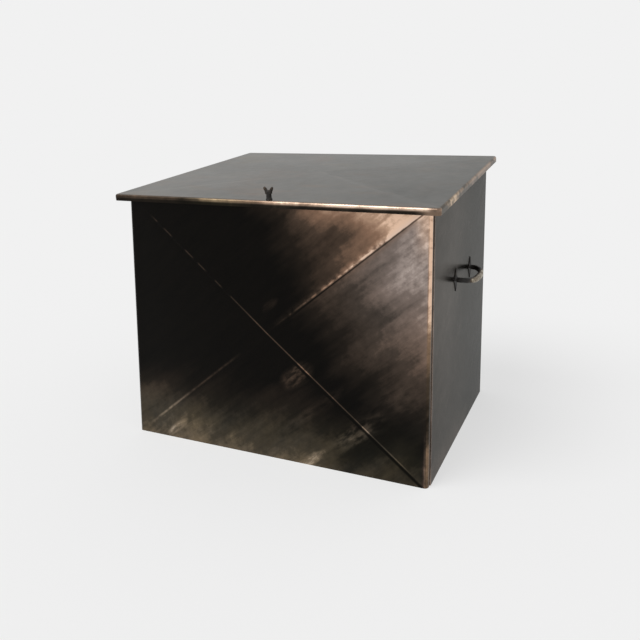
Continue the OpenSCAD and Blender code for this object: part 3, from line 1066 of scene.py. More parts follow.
class Skin:
    """Collects the points and faces of a piece's outer side."""

    def __init__(self) -> None:
        """Starts with no faces."""
        self.points: list[Point] = []
        self.index: dict[tuple[int, int, int], int] = {}
        self.faces: list[tuple[int, ...]] = []
        self.paint: dict[str, list[float]] = {"bend": [], "rim": []}

    def point(self, at: Point, bend: float = 0.0, rim: float = 0.0) -> int:
        """The number of a point; one that lies where another does is the same point.

        Args:
            at: Where it lies.
            bend: How far it is on the crown of a bend, for the finish.
            rim: How far it is on a turned-down rim, for the finish.

        Returns:
            Its number.
        """
        key = tuple(round(c * 2e6) for c in at)
        if key not in self.index:
            self.index[key] = len(self.points)
            self.points.append(at)
            self.paint["bend"].append(bend)
            self.paint["rim"].append(rim)
        return self.index[key]

    def face(self, corners: Sequence[int]) -> None:
        """Adds a face, leaving out corners that fall together.

        Args:
            corners: The numbers of its points, in order.
        """
        kept = [c for i, c in enumerate(corners) if c != corners[i - 1]]
        if len(set(kept)) >= 3:
            self.faces.append(tuple(kept))

    def rows(self, rows: Sequence[Sequence[int]], closed: bool = False) -> None:
        """Joins neighbouring rows of points with quads.

        Args:
            rows: Rows with the same number of points.
            closed: Whether each row runs round to its start.
        """
        for low, high in zip(rows, rows[1:]):
            count = len(low)
            for i in range(count if closed else count - 1):
                j = (i + 1) % count
                self.face((low[i], low[j], high[j], high[i]))

    def mesh(self, name: str) -> bpy.types.Mesh:
        """The faces as a mesh, with the paint for its finish.

        Args:
            name: The mesh's name.

        Returns:
            The mesh.
        """
        mesh = bpy.data.meshes.new(name)
        mesh.from_pydata(self.points, [], self.faces)
        for layer, values in self.paint.items():
            if any(values):
                mesh.attributes.new(layer, "FLOAT", "POINT").data.foreach_set("value", values)
        build = bmesh.new()
        build.from_mesh(mesh)
        bmesh.ops.recalc_face_normals(build, faces=build.faces)
        build.to_mesh(mesh)
        build.free()
        return mesh

    def sheet(self, name: str, thickness: float, outwards: Vector) -> bpy.types.Object:
        """The skin as a sheet, thickened to its inner side.

        Args:
            name: The piece's name.
            thickness: The sheet's thickness.
            outwards: A direction that most of the outer side faces.

        Returns:
            The new object.
        """
        mesh = self.mesh(name)
        if sum(f.normal.dot(outwards) * f.area for f in mesh.polygons) < 0:
            mesh.flip_normals()
        for _ in ("outer side", "inner side"):
            mesh.materials.append(None)
        piece = linked(name, mesh)
        solid = piece.modifiers.new("thickness", "SOLIDIFY")
        solid.thickness = thickness
        solid.offset = -1.0
        solid.use_even_offset = True
        solid.material_offset = 1
        return settled(piece)

    def solid(self, name: str) -> bpy.types.Object:
        """The closed skin as a solid piece."""
        return settled(linked(name, self.mesh(name)))


def linked(name: str, mesh: bpy.types.Mesh) -> bpy.types.Object:
    """A new object in the scene.

    Args:
        name: The object's name.
        mesh: Its mesh.

    Returns:
        The object.
    """
    piece = bpy.data.objects.new(name, mesh)
    bpy.context.scene.collection.objects.link(piece)
    return piece


def settled(piece: bpy.types.Object) -> bpy.types.Object:
    """Applies a piece's modifiers and sets smooth faces with sharp folds.

    Args:
        piece: The object to settle.

    Returns:
        The same object.
    """
    ready = piece.evaluated_get(bpy.context.evaluated_depsgraph_get())
    mesh = bpy.data.meshes.new_from_object(ready)
    mesh.name = piece.name
    piece.modifiers.clear()
    piece.data = mesh
    mesh.shade_smooth()
    mesh.set_sharp_from_angle(angle=SHARP)
    return piece


def eased_edges(piece: bpy.types.Object, width: float) -> None:
    """Breaks a CAD piece's sharp edges, as a file would.

    Args:
        piece: The CAD piece.
        width: How wide the broken edges are.
    """
    weld = piece.modifiers.new("weld", "WELD")
    weld.merge_threshold = SAME_POINT
    bevel = piece.modifiers.new("edges", "BEVEL")
    bevel.width = width
    bevel.segments = 2
    bevel.limit_method = "ANGLE"
    bevel.angle_limit = SHARP
    bevel.harden_normals = True


def dressed(piece: bpy.types.Object, *materials: bpy.types.Material) -> None:
    """Gives a piece its materials.

    Args:
        piece: The piece.
        materials: Its materials, the outer one first.
    """
    inner = [face.material_index for face in piece.data.polygons]
    piece.data.materials.clear()
    for material in materials:
        piece.data.materials.append(material)
    if len(materials) > 1:
        piece.data.polygons.foreach_set("material_index", inner)


def carried_over(node: str, edge: float, material: bpy.types.Material) -> bpy.types.Object:
    """Dresses a CAD node that is shown as it is, with its edges eased.

    Args:
        node: The node's name.
        edge: How wide its eased edges are.
        material: Its material.

    Returns:
        The node's object.
    """
    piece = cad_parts[node]
    dressed(piece, material)
    eased_edges(piece, edge)
    log.info("%s: dressed as it is", node)
    return piece


def lined(node: str, inwards: Vector, outer: bpy.types.Material,
          inner: bpy.types.Material) -> None:
    """Dresses a CAD sheet with one material outside and another on its inner side.

    Args:
        node: The node's name.
        inwards: The direction that the inner side faces.
        outer: The material outside.
        inner: The material of the inner side.
    """
    piece = carried_over(node, CAD_EASE, outer)
    piece.data.materials.append(inner)
    inside = [int(face.normal.dot(inwards) > 0.5) for face in piece.data.polygons]
    piece.data.polygons.foreach_set("material_index", inside)


def seated(piece: bpy.types.Object, body: Body, slot: Slot, stands_for: str,
           *materials: bpy.types.Material) -> bpy.types.Object:
    """Dresses a new piece, lets it ride on its body and hides the CAD nodes that it stands for.

    Args:
        piece: The new piece.
        body: The body that carries it.
        slot: The record's material slot; not used.
        stands_for: The CAD node that the piece replaces.
        materials: Its materials, the outer one first.

    Returns:
        The same piece.
    """
    dressed(piece, *materials)
    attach(piece, body.value)
    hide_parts(stands_for)
    log.info("%s: %d faces", piece.name, len(piece.data.polygons))
    return piece


@dataclass(frozen=True)
class CrossBreak:
    """A rectangle of sheet with two pressed creases from corner to corner.

    Attributes:
        half_u: Half its width.
        half_v: Half its height.
        rise: How far its middle stands out.
        rings: How many rings of points lie round its middle.
        near: Stations of a ring by their distance from the crease.
        wide: How many more stations run on to the middle of its side.
        soft: How wide the creases' ridges are.
        groove_at: Where the grooves beside them lie.
        groove_half: How wide the grooves are, by half.
        groove_depth: How deep they are.
        wave: How far the sheet's facets are out of true.
        waves: How many such waves there are to a metre.
        fade: How soon grooves and waves grow up from the edge.
        seed: Which waves they are.
    """

    half_u: float
    half_v: float
    rise: float
    rings: int = 26
    near: tuple[float, ...] = (0.0, 0.45 * MM, 0.9 * MM, 1.4 * MM, 2.0 * MM, 2.8 * MM, 4.2 * MM,
                               7.0 * MM)
    wide: int = 9
    soft: float = 1.1 * MM
    groove_at: float = -1.7 * MM
    groove_half: float = 0.9 * MM
    groove_depth: float = 0.14 * MM
    wave: float = 0.22 * MM
    waves: float = 9.0
    fade: float = 6.0
    seed: float = 0.0

    @property
    def reach(self) -> float:
        """Distance of a corner of the rectangle from the far diagonal, by half."""
        return self.half_u * self.half_v / math.hypot(self.half_u, self.half_v)

    def half_side(self, share: float) -> list[float]:
        """Stations along half a side of the ring at a share of the way out, as 1 minus the place.

        Args:
            share: How far out the ring lies.

        Returns:
            Rising numbers from 0 at the corner to 1 at the side's middle.
        """
        total = len(self.near) - 1 + self.wide
        fine = [min(d / (2 * share * self.reach), k / total) for k, d in enumerate(self.near)]
        last = fine[-1]
        return fine + [last + (1.0 - last) * k / self.wide for k in range(1, self.wide + 1)]

    def ring(self, share: float) -> list[tuple[float, float]]:
        """One ring of points.

        Args:
            share: How far out the ring lies.

        Returns:
            Its points, counter-clockwise from the corner at low u and low v.
        """
        half = self.half_side(share)
        steps = [-1.0 + s for s in half] + [1.0 - s for s in reversed(half[:-1])]
        steps = steps[:-1]
        u, v = self.half_u * share, self.half_v * share
        return ([(s * u, -v) for s in steps] + [(u, s * v) for s in steps]
                + [(-s * u, v) for s in steps] + [(-u, -s * v) for s in steps])

    def height(self, u: float, v: float) -> float:
        """How far the sheet stands out.

        Args:
            u: The point's place across from the middle.
            v: The point's place up from the middle.

        Returns:
            The height over the rectangle's edge.
        """
        a, b = abs(u) / self.half_u, abs(v) / self.half_v
        bend = self.soft / self.reach
        far = 0.5 * (a + b + math.sqrt((a - b) ** 2 + bend * bend))
        pressed = 0.0
        for line in (v / self.half_v - u / self.half_u, v / self.half_v + u / self.half_u):
            gap = (line * self.reach - self.groove_at) / self.groove_half
            pressed += math.exp(-gap * gap)
        fade = min(1.0, self.fade * (1.0 - max(a, b)))
        spot = Vector((u * self.waves, v * self.waves, self.seed))
        ripple = noise.noise(spot) * self.wave
        return self.rise * (1.0 - min(far, 1.0)) + fade * (ripple - pressed * self.groove_depth)

    def levels(self) -> list[float]:
        """The rings' shares of the way out, from the first small ring to the edge."""
        return [(k + 1) / self.rings for k in range(self.rings)]


# Walls -------------------------------------------------------------------


@dataclass
class FoldedWall:
    """The front or back panel: one sheet with bent upright edges and a flange round the mouth.

    Attributes:
        node: The CAD node's name.
        facing: The way it faces.
        lean: The mouth's slope, rising inwards.
        seed: Which waves its sheet has.
        rise: How far its creased middle stands out.
        bulge: How far the CAD sheet's middle stands out.
        sheet: The sheet's thickness.
        corner_r: The outer radius of its upright bends.
        fold_r: The outer radius of the fold round the mouth.
        seam_lap: How far its flanges reach round the corner.
        mouth_flange: How wide the flange round the mouth is.
        relief: The notch between fold and bend.
        margin: The flat margin round the creased area.
        groove: How deep the creases' grooves are.
        bend_steps: Facets of a bend.
        flange_steps: Rows of faces across a corner flange.
        fold_steps: Rows of faces across the mouth's flange.
    """

    node: str
    facing: Facing
    lean: float
    seed: float = 0.0
    rise: float = 5.2 * MM
    bulge: float = 5.5 * MM
    sheet: float = 1.5 * MM
    corner_r: float = 6.0 * MM
    fold_r: float = 3.0 * MM
    seam_lap: float = 32.0 * MM
    mouth_flange: float = 12.0 * MM
    relief: float = 2.0 * MM
    margin: float = 9.0 * MM
    groove: float = 0.14 * MM
    bend_steps: int = 8
    flange_steps: int = 4
    fold_steps: int = 3

    def __post_init__(self) -> None:
        """Reads the wall's width and height off its CAD node."""
        low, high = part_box(self.node)
        self.half_w = (high.x - low.x) / 2
        self.face_y = low.y + self.bulge if self.facing is Facing.FRONT else high.y
        self.bend_x = self.half_w - self.corner_r
        self.turn = math.pi / 2 - self.lean
        self.setback = self.fold_r * math.tan(self.turn / 2)
        past_edge = self.fold_r - self.setback
        if self.lean > 0:
            past_edge = self.mouth_flange * math.sin(self.lean)
        self.height = high.z - past_edge
        self.window = CrossBreak(
            self.bend_x - self.margin, (self.height - 2 * self.margin - self.fold_r) / 2, self.rise,
            groove_depth=self.groove if self.rise else 0.0, seed=self.seed)
        self.middle_z = self.margin + self.window.half_v

    def out(self, x: float, inwards: float, z: float) -> Point:
        """A point of the sheet.

        Args:
            x: Its place across.
            inwards: How far in from the outer face it lies.
            z: Its height.

        Returns:
            The point.
        """
        return (x, self.face_y - self.facing.value * inwards, z)

    def fold(self) -> list[tuple[float, float]]:
        """The outer side of the fold round the mouth.

        Returns:
            Its points, as places in from the face and up.
        """
        centre = (self.fold_r, self.height - self.setback)
        turns = [self.turn * i / self.bend_steps for i in range(1, self.bend_steps + 1)]
        arc = [(centre[0] - self.fold_r * math.cos(turn), centre[1] + self.fold_r * math.sin(turn))
               for turn in turns]
        end = (self.mouth_flange * math.cos(self.lean),
               self.height + self.mouth_flange * math.sin(self.lean))
        start = arc[-1]
        shares = [k / self.fold_steps for k in range(1, self.fold_steps + 1)]
        return arc + [(start[0] + (end[0] - start[0]) * share,
                       start[1] + (end[1] - start[1]) * share) for share in shares]

    def pressed(self, mesh: Skin) -> None:
        """Adds the creased area, ring by ring from its middle.

        Args:
            mesh: The wall's mesh.
        """

        def point(u: float, v: float) -> int:
            """A point of the creased area."""
            return mesh.point(self.out(u, -self.window.height(u, v), self.middle_z + v))

        middle = [point(0.0, 0.0)]
        rings = [[point(u, v) for u, v in self.window.ring(share)]
                 for share in self.window.levels()]
        mesh.rows([middle * len(rings[0])] + rings, closed=True)

    def build(self) -> bpy.types.Object:
        """Builds the wall.

        Returns:
            The wall as a sheet.
        """
        mesh = Skin()
        self.pressed(mesh)
        window = self.window
        edge = window.ring(1.0)
        side = len(edge) // 4
        columns = [u for u, _ in edge[:side]] + [window.half_u]
        levels = [v for _, v in edge[side:2 * side]] + [window.half_v]
        fold_x = self.bend_x - self.relief
        right = [fold_x, self.bend_x]
        xs = [-x for x in reversed(right)] + columns + right
        top = self.height - self.setback
        flange_top = self.height - 2 * self.fold_r - self.seam_lap * math.tan(abs(self.lean))
        zs = [0.0] + [self.middle_z + v for v in levels] + sorted((flange_top, top))
        low_z = self.middle_z - window.half_v - SAME_POINT
        high_z = self.middle_z + window.half_v + SAME_POINT
        for x0, x1 in zip(xs, xs[1:]):
            for z0, z1 in zip(zs, zs[1:]):
                if abs(x0 + x1) / 2 < window.half_u and low_z < z0 and z1 < high_z:
                    continue
                mesh.face([mesh.point(self.out(x, 0.0, z))
                           for x, z in ((x0, z0), (x1, z0), (x1, z1), (x0, z1))])
        self.corners(mesh, [z for z in zs if z <= top], flange_top)
        fold = [(0.0, top)] + self.fold()
        across = [x for x in xs if abs(x) < fold_x + SAME_POINT]
        mesh.rows([[mesh.point(self.out(x, y, z)) for x in across] for y, z in fold])
        return mesh.sheet(self.node + "_sheet", self.sheet, Vector((0, self.facing.value, 0)))

    def corners(self, mesh: Skin, zs: Sequence[float], flange_top: float) -> None:
        """Adds the two upright bends and their flanges.

        Args:
            mesh: The wall's mesh.
            zs: The heights of its rows of points.
            flange_top: Where the flanges stop.
        """
        turns = [math.pi / 2 * i / self.bend_steps for i in range(self.bend_steps + 1)]
        arc = [(self.bend_x + self.corner_r * math.sin(turn), self.corner_r * (1 - math.cos(turn)))
               for turn in turns]
        reach = self.seam_lap - self.corner_r
        flange = [(self.half_w, self.corner_r + reach * k / self.flange_steps)
                  for k in range(self.flange_steps + 1)]
        for hand in Hand:
            mesh.rows([[mesh.point(self.out(hand.value * x, y, z)) for x, y in arc] for z in zs])
            mesh.rows([[mesh.point(self.out(hand.value * x, y, z)) for x, y in flange]
                       for z in zs if z <= flange_top + SAME_POINT])


@dataclass
class Walls:
    """The box's four walls and its floor pan.

    Attributes:
        tilt: The mouth's slope.
        inside: The finish of the sheets' inner sides.
        back_seed: Which waves the back panel has.
    """

    tilt: float
    inside: bpy.types.Material
    back_seed: float = 7.0

    def front(self) -> None:
        """Builds the front panel, with its patina laid out by its creases and bends."""
        wall = FoldedWall("front_panel", Facing.FRONT, self.tilt)
        patina = FrontPatina(
            "front_patina", Brushing.UPRIGHT, strength=0.085, half_w=wall.window.half_u,
            half_h=wall.window.half_v, middle_z=wall.middle_z, bend_x=wall.bend_x,
            top_z=wall.height - wall.fold_r, bend_end=wall.face_y + wall.corner_r)
        seated(wall.build(), Body.BOX, Slot.FRONT, wall.node, patina.made(), self.inside)

    def back(self) -> None:
        """Builds the back panel, which has no creases."""
        wall = FoldedWall("back_panel", Facing.BACK, -self.tilt, self.back_seed, rise=0.0)
        patina = RubbedPatina("back_patina", Brushing.UPRIGHT, rub=0.40, grey=0.6)
        seated(wall.build(), Body.BOX, Slot.WALL, wall.node, patina.made(), self.inside)

    def sides(self) -> None:
        """Dresses the two side panels."""
        patina = SidePatina("side_patina", Brushing.SIDE, rub=0.62, strength=0.10, gloss=0.24,
                            glance=0.50, front_edge=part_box("right_side_panel")[0].y).made()
        for hand in Hand:
            lined(hand.word + "_side_panel", Vector((-hand.value, 0, 0)), patina, self.inside)

    def pan(self) -> None:
        """Dresses the floor pan."""
        patina = RubbedPatina("pan_patina", Brushing.FLAT, rub=0.12, gloss=0.5)
        lined("floor_pan", Vector((0, 0, 1)), patina.made(), self.inside)

    def build(self) -> None:
        """Builds and dresses all five."""
        self.front()
        self.back()
        self.sides()
        self.pan()


def lid_tilt() -> float:
    """The slope of the mouth, from the tops of the front and back panels.

    The front panel's flange runs up the slope, so its top stands above the mouth's front edge,
    and the back panel's fold rounds off the mouth's rear edge.

    Returns:
        The slope in radians.
    """
    (front, front_top), (_, back_top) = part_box("front_panel"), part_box("back_panel")
    depth = back_top.y - (front.y + FoldedWall.bulge)
    tilt, passes = 0.0, 8
    for _ in range(passes):
        rounded_off = FoldedWall.fold_r * (math.tan(math.pi / 4 + tilt / 2) - 1.0)
        rise = back_top.z + rounded_off - front_top.z + FoldedWall.mouth_flange * math.sin(tilt)
        tilt = math.atan2(rise, depth)
    return tilt


# Lid ---------------------------------------------------------------------


@dataclass
class Lid:
    """The lid: a shallow pan with a turned-down rim and two pressed creases.

    Attributes:
        tilt: The mouth's slope, on which the lid lies.
        sheet: The sheet's thickness.
        bend_r: The outer radius of the rim's bend.
        corner_r: The radius of the lid's corners.
        rim_depth: How deep the rim is.
        margin: The flat margin round the creased area.
        rise: How far the creased middle stands up.
        wave: How far the facets are out of true.
        seed: Which waves they have.
        front_h: The height of the mouth's front edge.
        half_d: Half the box's depth.
        seat_gap: The gap between the walls' tops and the lid.
        front_over: How far the lid stands over in front.
        rear_over: How far it stands over at the back.
        bend_steps: Facets of the rim's bend.
        front_bend: How far behind the lid's front the finish of the front rim starts.
        crown_rise: How soon a bend's crown counts as worn and highlighted.
        crown_end: The row of the rim at which its wear and painted highlight end.
        flat_steps: Rows of faces across the flat margin.
        rim_steps: Rows of faces down the rim.
    """

    tilt: float
    sheet: float = 1.5 * MM
    bend_r: float = 3.5 * MM
    corner_r: float = 6.0 * MM
    rim_depth: float = 10.0 * MM
    margin: float = 14.0 * MM
    rise: float = 3.2 * MM
    wave: float = 0.25 * MM
    seed: float = 3.0
    front_h: float = 398.0 * MM
    half_d: float = 192.5 * MM
    seat_gap: float = 0.3 * MM
    front_over: float = 17.0 * MM
    rear_over: float = 14.0 * MM
    front_bend: float = 9.2 * MM
    crown_rise: float = 1.25
    crown_end: int = 2
    bend_steps: int = 7
    flat_steps: int = 3
    rim_steps: int = 4

    def __post_init__(self) -> None:
        """Works out the lid's width and length, and its creased area."""
        low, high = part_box("lid_panel")
        self.half_w = (high.x - low.x) / 2
        mouth = 2 * self.half_d / math.cos(self.tilt)
        front, rear = -self.front_over, mouth + self.rear_over
        self.middle_v, self.half_v = (front + rear) / 2, (rear - front) / 2
        self.window = CrossBreak(self.half_w - self.margin, self.half_v - self.margin, self.rise,
                                 wave=self.wave, seed=self.seed)

    def out(self, x: float, v: float, w: float) -> Point:
        """A point of the lid.

        Args:
            x: Its place across.
            v: How far up the slope from the front panel it lies.
            w: How far over the lid's underside.

        Returns:
            The point.
        """
        w = w + self.seat_gap
        cos, sin = math.cos(self.tilt), math.sin(self.tilt)
        return (x, -self.half_d + v * cos - w * sin, self.front_h + v * sin + w * cos)

    def outline(self, inset: float, radius: float) -> list[tuple[float, float]]:
        """Points of a rounded rectangle that match the stations of the creased window.

        Args:
            inset: How far inside the lid's edge the outline runs.
            radius: The radius of its corners.

        Returns:
            The points, counter-clockwise from the corner at low u and low v.
        """
        fine = len(self.window.near) - 1
        u, v = self.half_w - inset - radius, self.half_v - inset - radius
        corner = []
        for turn, (x, y) in enumerate(((-u, -v), (u, -v), (u, v), (-u, v))):
            start = math.pi * (1.25 + turn * 0.5)
            angles = [start + math.pi / 4 * k / fine for k in range(-fine, fine + 1)]
            corner.append([(x + radius * math.cos(a), y + radius * math.sin(a)) for a in angles])
        points: list[tuple[float, float]] = []
        runs = 2 * self.window.wide
        for here, following in zip(corner, corner[1:] + corner[:1]):
            (x0, y0), (x1, y1) = here[-1], following[0]
            points += here[fine:]
            points += [(x0 + (x1 - x0) * k / runs, y0 + (y1 - y0) * k / runs)
                       for k in range(1, runs)]
            points += following[:fine]
        return points

    def top(self, mesh: Skin) -> list[list[int]]:
        """The rings of the creased area and the flat margin round it.

        Args:
            mesh: The lid's mesh.

        Returns:
            The rings from the middle outwards.
        """

        def point(u: float, v: float) -> int:
            """A point of the creased area."""
            height = self.sheet + self.window.height(u, v)
            return mesh.point(self.out(u, self.middle_v + v, height))

        inner = self.window.ring(1.0)
        rings = [[point(0.0, 0.0)] * len(inner)]
        rings += [[point(u, v) for u, v in self.window.ring(share)]
                  for share in self.window.levels()]
        flat = self.outline(self.bend_r, self.corner_r - self.bend_r)
        for k in range(1, self.flat_steps + 1):
            share = k / self.flat_steps
            rings.append([mesh.point(self.out(a[0] + (b[0] - a[0]) * share,
                                              self.middle_v + a[1] + (b[1] - a[1]) * share,
                                              self.sheet)) for a, b in zip(inner, flat)])
        return rings

    def rim(self, mesh: Skin) -> list[list[int]]:
        """The rings of the bend and the turned-down rim.

        Args:
            mesh: The lid's mesh.

        Returns:
            The rings from the bend downwards.
        """
        rings = []
        for i in range(1, self.bend_steps + 1):
            turn = math.pi / 2 * i / self.bend_steps
            inset = self.bend_r * (1 - math.sin(turn))
            height = self.sheet - self.bend_r * (1 - math.cos(turn))
            crown = min(1.0, self.crown_rise * math.sin(turn))
            rings.append([mesh.point(self.out(u, self.middle_v + v, height), crown,
                                     math.sin(turn / 2))
                          for u, v in self.outline(inset, self.corner_r - inset)])
        start, end = self.sheet - self.bend_r, self.sheet - self.rim_depth
        edge = self.outline(0.0, self.corner_r)
        for k in range(1, self.rim_steps + 1):
            height = start + (end - start) * k / self.rim_steps
            crown = max(0.0, 1.0 - k / self.crown_end)
            rings.append([mesh.point(self.out(u, self.middle_v + v, height), crown, 1.0)
                          for u, v in edge])
        return rings

    def patina(self) -> LidPatina:
        """The lid's finish, laid out by its creases and its front rim.

        Returns:
            The finish.
        """
        return LidPatina(
            "lid_patina", Brushing.FLAT, rub=0.62, strength=0.10, glance=0.9,
            front_y=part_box("lid_panel")[0].y + self.front_bend, half_w=self.window.half_u,
            middle_y=self.out(0.0, self.middle_v, self.sheet + self.rise / 2)[1],
            half_d=self.window.half_v * math.cos(self.tilt))

    def build(self, inside: bpy.types.Material) -> bpy.types.Object:
        """The lid as a piece.

        Args:
            inside: The finish of its underside.

        Returns:
            The piece.
        """
        mesh = Skin()
        mesh.rows(self.top(mesh) + self.rim(mesh), closed=True)
        piece = mesh.sheet("lid_panel_sheet", self.sheet, Vector((0, 0, 1)))
        return seated(piece, Body.LID, Slot.LID, "lid_panel", self.patina().made(), inside)


# Forged pieces -----------------------------------------------------------


def hammered(at: Vector, depth: float, grain: float = 260.0) -> float:
    """How far a hammer mark moves a forged surface at a point.

    Args:
        at: The point.
        depth: Depth of the marks.
        grain: Marks per metre.

    Returns:
        The move outwards.
    """
    finer, finer_depth = 2.7, 0.4 * depth
    return depth * noise.noise(at * grain) + finer_depth * noise.noise(at * grain * finer)


@dataclass(frozen=True)
class Bar:
    """A station along a forged bar.

    Attributes:
        middle: The bar's middle there.
        side: One direction across the bar.
        top: The other direction across it.
        radius: Its radius.
        squareness: 2 for a round bar, and more for a squarer one.
        marks: The depth of its hammer marks.
    """

    middle: Vector
    side: Vector
    top: Vector
    radius: float
    squareness: float = 2.0
    marks: float = 0.0

    def ring(self, sides: int) -> list[Point]:
        """The bar's outline at this station.

        Args:
            sides: How many points it has.

        Returns:
            The points.
        """
        points = []
        for k in range(sides):
            turn = 2 * math.pi * k / sides
            c, s = math.cos(turn), math.sin(turn)
            n = self.squareness
            r = self.radius * (abs(c) ** n + abs(s) ** n) ** (-1 / n)
            outwards = c * self.side + s * self.top
            at = self.middle + outwards * r
            points.append(tuple(at + outwards * hammered(at, self.marks)))
        return points


@dataclass
class SideHandle:
    """A fixed handle on one side: a forged bow riveted through two four-pointed rosettes.

    Attributes:
        hand: The side that it is on.
        iron: The finish of its forged pieces.
        steel: The finish of its washers.
        face_x: Where the side panel's outer face lies.
        rosette_t: The rosettes' thickness in the middle.
        edge_t: Their thickness at the edge.
        sheet: The side panel's thickness.
        washer_t: The washers' thickness.
        tenon_r: The tenons' radius.
        bore_gap: The gap between a tenon and its bore.
        head_r: The radius of a tenon's hammered head.
        head_h: The head's height.
        foot_r: The bow's radius at its feet.
        grip_r: Its radius at the grip.
        drop: How far the grip hangs below the feet.
        power: How square the bow's curve is.
        filed: How much thinner the bar is between its feet.
        squared: How much squarer it is there.
        marks: The depth of its hammer marks.
        tip: The radius of a rosette's points.
        star: How hollow a rosette's sides are.
        slope: How hollow its upper side is.
        collar: How much wider than the foot its flat middle is.
        dents: The depth of its hammer marks.
        dent_grain: Their number per metre.
        turn_step: The turn by which the bow's heading is told.
        bow_steps: Stations along the bow.
        bar_sides: Points round the bar.
        head_steps: Rings of a tenon's head.
        around: Points round a rosette.
        rings: Rings of a rosette.
    """

    hand: Hand
    iron: bpy.types.Material
    steel: bpy.types.Material
    face_x: float = 250.0 * MM
    rosette_t: float = 3.0 * MM
    edge_t: float = 1.0 * MM
    sheet: float = 1.5 * MM
    washer_t: float = 1.2 * MM
    tenon_r: float = 2.5 * MM
    bore_gap: float = 0.1 * MM
    head_r: float = 4.0 * MM
    head_h: float = 2.0 * MM
    foot_r: float = 3.9 * MM
    grip_r: float = 4.6 * MM
    drop: float = 4.0 * MM
    power: float = 0.8
    filed: float = 0.12 * MM
    squared: float = 0.8
    marks: float = 0.28 * MM
    tip: float = 1.1 * MM
    star: float = 2.7
    slope: float = 1.15
    collar: float = 0.6 * MM
    dents: float = 0.22 * MM
    dent_grain: float = 330.0
    turn_step: float = 0.004
    bow_steps: int = 96
    bar_sides: int = 28
    head_steps: int = 6
    around: int = 96
    rings: int = 14

    def __post_init__(self) -> None:
        """Reads the bow's reach and the feet's places off the CAD nodes."""
        word = self.hand.word
        low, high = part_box(f"{word}_handle_bow")
        ends = [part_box(self.rosette_node(foot)) for foot in Foot]
        self.feet = [(lo.y + hi.y) / 2 for lo, hi in ends]
        lowest, highest = ends[0]
        self.height = (lowest.z + highest.z) / 2
        self.half_h = (highest.z - lowest.z) / 2
        self.half_w = (highest.y - lowest.y) / 2
        self.reach = max(abs(low.x), abs(high.x)) - self.face_x - self.grip_r

    def rosette_node(self, foot: Foot) -> str:
        """The name of a foot's rosette."""
        return f"{self.hand.word}_handle_{foot.name.lower()}_rosette"

    def handed(self, at: Point) -> Point:
        """A point of the right handle, on this handle's side."""
        return (at[0] * self.hand.value, at[1], at[2])

    def middle(self, turn: float) -> Vector:
        """The bow's middle line.

        Args:
            turn: The place along it, from the front foot at 0 to the rear foot at half a turn.

        Returns:
            The point.
        """
        s, c = max(0.0, math.sin(turn)), math.cos(turn)
        half = (self.feet[1] - self.feet[0]) / 2
        x = self.face_x + self.rosette_t + (self.reach - self.rosette_t) * s ** self.power
        y = (self.feet[0] + self.feet[1]) / 2 - math.copysign(half * abs(c) ** self.power, c)
        return Vector((x, y, self.height - self.drop * s * s))

    def station(self, turn: float) -> Bar:
        """The bow's bar at a place along it.

        Args:
            turn: The place.

        Returns:
            The station.
        """
        after = self.middle(min(math.pi, turn + self.turn_step))
        heading = (after - self.middle(max(0.0, turn - self.turn_step))).normalized()
        if turn in (0.0, math.pi):
            heading = Vector((1.0 if turn == 0.0 else -1.0, 0.0, 0.0))
        side = Vector((heading.y, -heading.x, 0.0)).normalized()
        radius = self.foot_r + (self.grip_r - self.foot_r) * math.sin(turn) ** 2
        clear = min(1.0, 4 * math.sin(turn))
        return Bar(self.middle(turn), side, side.cross(heading), radius - self.filed * clear,
                   2.0 + self.squared * clear, self.marks * clear)

    def tenon(self, foot: Foot) -> list[Bar]:
        """The stations of a tenon and its hammered head.

        Args:
            foot: The foot that it ends.

        Returns:
            The stations from inside the box outwards.
        """
        side, top = Vector((0, -1, 0)), Vector((0, 0, 1))
        back = self.face_x - self.sheet - self.washer_t
        turns = [math.pi / 2 * k / self.head_steps for k in range(self.head_steps + 1)]
        dome = [(back - self.head_h * math.cos(turn), self.head_r * math.sin(turn))
                for turn in turns]
        neck = [(back, self.tenon_r), (self.face_x + self.rosette_t, self.tenon_r)]
        return [Bar(Vector((x, self.feet[foot.value], self.height)), side, top, r)
                for x, r in dome + neck]

    def bow(self) -> bpy.types.Object:
        """The forged bow with its tenons.

        Returns:
            The piece.
        """
        shares = [k / self.bow_steps for k in range(self.bow_steps + 1)]
        turns = [math.pi * (0.5 - 0.5 * math.cos(math.pi * share)) for share in shares]
        rear = [Bar(b.middle, -b.side, b.top, b.radius) for b in reversed(self.tenon(Foot.REAR))]
        bars = self.tenon(Foot.FRONT) + [self.station(turn) for turn in turns] + rear
        skin = Skin()
        skin.rows([[skin.point(self.handed(p)) for p in bar.ring(self.bar_sides)] for bar in bars],
                  closed=True)
        return skin.solid(f"{self.hand.word}_forged_bow")

    def outline(self, turn: float) -> Vector:
        """The edge of a rosette.

        Args:
            turn: The direction from its middle.

        Returns:
            The edge's place across and up from its middle.
        """
        c, s = math.cos(turn), math.sin(turn)
        wide, high = self.half_w - self.tip, self.half_h - self.tip
        return Vector((math.copysign(wide * abs(c) ** self.star, c) + self.tip * c,
                       math.copysign(high * abs(s) ** self.star, s) + self.tip * s))

